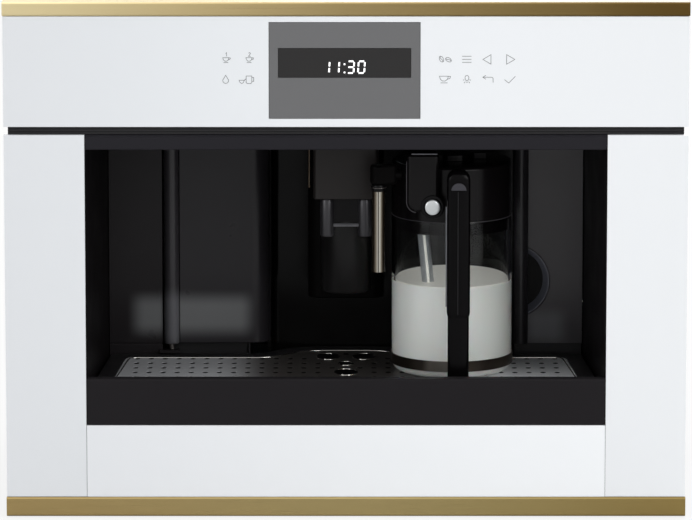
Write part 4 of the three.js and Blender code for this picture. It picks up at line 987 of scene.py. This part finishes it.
def milk_spout():
    low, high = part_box("milk_spout_tube")
    x, y, z = MILK_SPOUT.x, MILK_SPOUT.y, MILK_SPOUT.arm_z
    radius, foot, bore = MILK_SPOUT.tube, MILK_SPOUT.foot, 3.8 * MM
    profile = [(bore, low.z), (foot - 0.05 * MM, low.z), (foot, low.z + 0.6 * MM), (foot, low.z + 4 * MM),
               (radius, low.z + 9 * MM), (radius, high.z - 0.6 * MM), (radius - 0.6 * MM, high.z),
               (bore, high.z), (bore, low.z)]
    # The tube's streaks are painted reflections.
    dress(lathe("milk_outlet", profile, (x, y), 72), "spout_steel", "milk_spout", "milk_spout_tube")
    collar = ring_profile(6.4 * MM, 2 * MM, high.z - 1 * MM, high.z + 5 * MM, 0.8 * MM)
    bend = 10 * MM
    pivot_x, pivot_y = MILK_SPOUT.pivot
    path = [(pivot_x + 1 * MM, pivot_y, z), (pivot_x - 6 * MM, pivot_y - 1.4 * MM, z)]
    path += [(a, y + 1.5 * MM, b) for a, b in arc((x + bend, z - bend), bend, 90, 180, 9)]
    path += [(x, y, high.z + 2 * MM)]
    stadium = arc((x + 11.5 * MM, y + 2.5 * MM), 5 * MM, -82, 98, 20)
    stadium += arc((x, y + 0.5 * MM), 7.4 * MM, 98, 262, 20)
    knuckle = prism("spout_knuckle", stadium, z - 8 * MM, z + 10 * MM)
    bevel(knuckle, 3 * MM, 6, 45)
    ring = [(a, b, z - 10.5 * MM) for a, b in ellipse((x, y), mm(6.7, 6.7), 60)]
    arm_pieces = ((lathe("outlet_collar", collar, (x, y), 72), "black_smooth"),
                  (tube("milk_elbow", path, 4.2 * MM, False, 10), "shell_black"), (knuckle, "shell_black"),
                  (tube("collar_ring", ring, 0.45 * MM, True), "dark_metal"))
    for piece, look in arm_pieces:
        dress(piece, look, "milk_spout", "milk_spout_arm")


jug_and_milk()
intake_tube()
jug_lid()
froth_column()
froth_button()
jug_handle()
milk_spout()


# ---- Touch symbols and the clock, printed on the front ----
# Places are read in the photograph's pixels; the symbols themselves are generic.
PIXEL = SimpleNamespace(middle_x=345.7, bottom=518.4, width=0.87 * MM, height=0.8794 * MM)
ON_GLASS = ("ink", GLASS_Y - PRINT_THICKNESS, 0.42 * MM)  # look, front and width of a line


def on_front(px, py):
    return (px - PIXEL.middle_x) * PIXEL.width, (PIXEL.bottom - py) * PIXEL.height


def square_to(along):
    return Vector((-along.y, along.x))


def ribbon(bm, points, closed, front, width):
    """A flat printed line through the points."""
    points = [Vector(point) for point in points]
    rows = []
    for k, here in enumerate(points):
        before = points[k - 1] if closed or k else here
        after = points[(k + 1) % len(points)] if closed or k < len(points) - 1 else here
        along_in, along_out = (here - before).normalized(), (after - here).normalized()
        along = (along_in + along_out).normalized()
        reference = along_out if along_out.length > 0 else along_in
        miter = min(1 / max(abs(along.dot(reference)), 0.4), 2.2)
        reach = square_to(along) * width / 2 * miter
        left, right = here + reach, here - reach
        back = front + PRINT_THICKNESS
        rows.append(corners(bm, [(p.x, y, p.y) for p, y in
                                 ((left, front), (right, front), (right, back), (left, back))]))
    skin(bm, rows + rows[:1] if closed else rows)
    if not closed:
        bm.faces.new(rows[0][::-1])
        bm.faces.new(rows[-1])


def printed(name, closed_lines, open_lines=(), print_style=ON_GLASS):
    """One printed symbol; its lines are points in pixels of the photograph."""
    look, front, width = print_style
    bm = bmesh.new()
    for lines, closed in ((closed_lines, True), (open_lines, False)):
        for points in lines:
            ribbon(bm, [on_front(*p) for p in points], closed, front, width)
    dress(from_bmesh(name, bm, 30), look, "machine")


def shares(corner, size, points):
    """Points given as shares of a size from a corner."""
    return [(corner[0] + u * size[0], corner[1] + v * size[1]) for u, v in points]


def turned(points, centre, degrees):
    turn = radians(degrees)
    return [(centre[0] + u * cos(turn) - v * sin(turn),
             centre[1] + u * sin(turn) + v * cos(turn)) for u, v in points]


CUP_BOWL = [(0, 0), (0.08, 0.45), (0.28, 0.72), (0.52, 0.72), (0.72, 0.45), (0.8, 0)]
CUP_EAR = [(0.8, 0.04), (1, 0.04), (0.93, 0.36), (0.74, 0.42)]
CUP_SAUCER = [(0.1, 1), (0.72, 1)]


def cup(name, corner, size, *other_lines):
    """An open cup with its handle over a saucer; the corner is the left end of its rim."""
    printed(name, [shares(corner, size, CUP_BOWL)],
            [*other_lines, shares(corner, size, CUP_EAR), shares(corner, size, CUP_SAUCER)])


def touch_symbols():
    cup("key_one_cup", (223.2, 56), (7.6, 4.8), [(226, 52), (227, 51), (227, 54.6)])
    cup("key_two_cups", (246.2, 56), (7.6, 4.8),
        [(248.8, 51.6), (249.8, 50.9), (250.8, 51.7), (248.8, 54.6), (251, 54.6)])
    drop = [(226, 73.4), (228.2, 77.2)] + arc((226, 78.6), 2.9, -20, 200, 11) + [(223.8, 77.2)]
    printed("key_hot_water", [drop])
    mug = [(246.4, 74.2), (252, 74.2), (252, 80.9), (250.8, 81.6), (247.6, 81.6), (246.4, 80.9)]
    mug_ear = [(252, 75.6), (253.9, 75.6), (253.9, 79.4), (252, 79.4)]
    small_cup = [(239.4, 78.4), (240.4, 80.8), (242, 81.6), (243.6, 80.8), (244.5, 78.4)]
    pour = [(244.5, 78.8), (245.4, 77.4), (246.4, 77)]
    printed("key_milk_and_cup", [mug, small_cup], [mug_ear, pour])
    for number, (centre, tilt) in enumerate((((440.6, 57.4), 62), ((447.6, 58), 28)), 1):
        crease = turned([(-3.1, 0), (-1.2, 0.5), (1.2, -0.5), (3.1, 0)], centre, tilt)
        printed("key_bean_%d" % number, [turned(ellipse((0, 0), (3.1, 1.9), 18), centre, tilt)], [crease])
    printed("key_menu", [], [[(461.2, y), (470.4, y)] for y in (54.6, 57.6, 60.6)])
    printed("key_previous", [[(481.8, 57.7), (489.8, 53), (489.8, 62.4)]])
    printed("key_next", [[(513.6, 57.7), (505.4, 53), (505.4, 62.4)]])
    cup("key_cup", (438.7, 74.4), (11, 6.6))
    bulb = [(465, 78.6), (464.2, 77)] + arc((466, 75.6), 1.9, 160, 380, 11) + [(467.8, 77), (467, 78.6)]
    rays = [[(462.2, 78.4), (463.4, 77.8)], [(463, 81.2), (464.2, 79.8)], [(469.8, 78.4), (468.6, 77.8)],
            [(469, 81.2), (467.8, 79.8)]]
    printed("key_light", [bulb], [[(464.8, 80.2), (467.2, 80.2)]] + rays)
    hook = [(492, 80.6), (492, 76.6), (491, 75.4), (482, 75.4)]
    printed("key_back", [], [hook, [(484.8, 73.4), (481.8, 75.4), (484.8, 77.4)]])
    printed("key_confirm", [], [[(503.4, 77.8), (507.6, 81.2), (514.2, 74.4)]])


SEGMENTS = {  # ends of each bar of a digit, in shares of its width and height from the top left
    "a": ((0, 0), (1, 0)), "b": ((1, 0), (1, 0.5)), "c": ((1, 0.5), (1, 1)), "d": ((0, 1), (1, 1)),
    "e": ((0, 0.5), (0, 1)), "f": ((0, 0), (0, 0.5)), "g": ((0, 0.5), (1, 0.5))}
DIGITS = {"0": "abcdef", "1": "bc", "3": "abgcd"}
CLOCK = SimpleNamespace(top=59.6, height=11.6, width=6.2, lean=0.06, gap=0.07, stroke=1.35 * MM,
                        lefts=(322.6, 332.2, 347, 357.6), colon_x=344.2, colon_half=0.8, colon=(0.25, 0.95))


def clock_bar(left, bar):
    """One bar of a digit, shortened at both ends and leaning to the right."""
    (u0, v0), (u1, v1) = SEGMENTS[bar]
    gap_u, gap_v = (0, CLOCK.gap) if u0 == u1 else (CLOCK.gap * 1.6, 0)
    return [(left + u * CLOCK.width + (1 - v) * CLOCK.lean * CLOCK.height, CLOCK.top + v * CLOCK.height)
            for u, v in ((u0 + gap_u, v0 + gap_v), (u1 - gap_u, v1 - gap_v))]


def clock():
    """The time of day in slanted seven-bar digits."""
    lit = ("glow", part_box("display_window")[0].y - PRINT_THICKNESS, CLOCK.stroke)
    for number, (left, digit) in enumerate(zip(CLOCK.lefts, "1130"), 1):
        printed("clock_digit_%d" % number, [], [clock_bar(left, bar) for bar in DIGITS[digit]], lit)
    dots = [[(CLOCK.colon_x + side * CLOCK.colon_half, CLOCK.top + share * CLOCK.height) for side in (-1, 1)]
            for share in CLOCK.colon]
    printed("clock_colon", [], dots, lit)


touch_symbols()
clock()


# ---- Floor, light and camera ----
def mix_shaders(tree, share, one, other, output):
    """Ends a node tree in a mix of two shaders."""
    mix = add_node(tree, "MixShader", Fac=share)
    feed(tree, mix.inputs[1], one.outputs[0])
    feed(tree, mix.inputs[2], other.outputs[0])
    feed(tree, tree.nodes[output].inputs["Surface"], mix.outputs[0])


def pale_floor(tree, color, whiteness):
    """Mixes plain white into what the camera sees, and keeps a soft shadow."""
    principled(tree, color, 0.7)
    add_bump(tree, mapped_noise(tree, 400), 0.05, 0.2 * MM)
    white = add_node(tree, "Emission", Color=(1, 1, 1, 1), Strength=1.0)
    seen = combined(tree, "MULTIPLY", add_node(tree, "LightPath").outputs["Is Camera Ray"], whiteness)
    mix_shaders(tree, seen, tree.nodes["Principled BSDF"], white, "Material Output")


def floor(reach):
    mesh = bpy.data.meshes.new("floor")
    corner_points = [(-reach, -reach, 0), (reach, -reach, 0), (reach, reach, 0), (-reach, reach, 0)]
    mesh.from_pydata(corner_points, [], [(0, 1, 2, 3)])
    mesh.materials.append(new_material(pale_floor, "floor", (236, 236, 236), 0.8))
    new_object("floor", mesh)


def world(strength):
    """A grey sky that lights the object; the camera, gloss and glass see white."""
    studio = bpy.data.worlds.new("studio")
    bpy.context.scene.world = studio
    studio.use_nodes = True
    tree = studio.node_tree
    sky = tree.nodes["Background"]
    sky.inputs["Color"].default_value = (0.96, 0.98, 1.0, 1)
    sky.inputs["Strength"].default_value = strength
    white = add_node(tree, "Background", Color=(1, 1, 1, 1), Strength=1.0)
    path = add_node(tree, "LightPath").outputs
    seen = combined(tree, "MAXIMUM", path["Is Camera Ray"], path["Is Glossy Ray"])
    seen = combined(tree, "MAXIMUM", seen, path["Is Transmission Ray"])
    mix_shaders(tree, seen, sky, white, "World Output")


def aim(obj, position, target):
    obj.location = position
    obj.rotation_euler = (Vector(target) - Vector(position)).to_track_quat("-Z", "Y").to_euler()


def softbox(name, position, size, power):
    light = bpy.data.lights.new(name, "AREA")
    light.shape = "RECTANGLE"
    light.size = light.size_y = size
    light.energy = power
    aim(new_object(name, light), position, (0, 0, 0.22))


def camera():
    data = bpy.data.cameras.new("camera")
    data.sensor_width = 36
    data.lens = 299.0
    data.clip_end = 50
    obj = new_object("camera", data)
    target = Vector((0, FRONT_Y, TOP_Z / 2 + 1.7 * MM))
    distance, elevation = 5.0, radians(10)
    aim(obj, target + distance * Vector((0, -cos(elevation), sin(elevation))), target)
    bpy.context.scene.camera = obj


floor(6.0)
world(0.4)
softbox("key_right", (2.6, -3.2, 1.9), 2.0, 62)
softbox("fill_left", (-2.8, -2.6, 1.4), 1.8, 26)
softbox("top", (0, 0.2, 3.0), 4.2, 46)
softbox("rear", (0.8, 3.0, 1.8), 2.0, 40)
camera()
bpy.context.scene.view_settings.view_transform = "Standard"
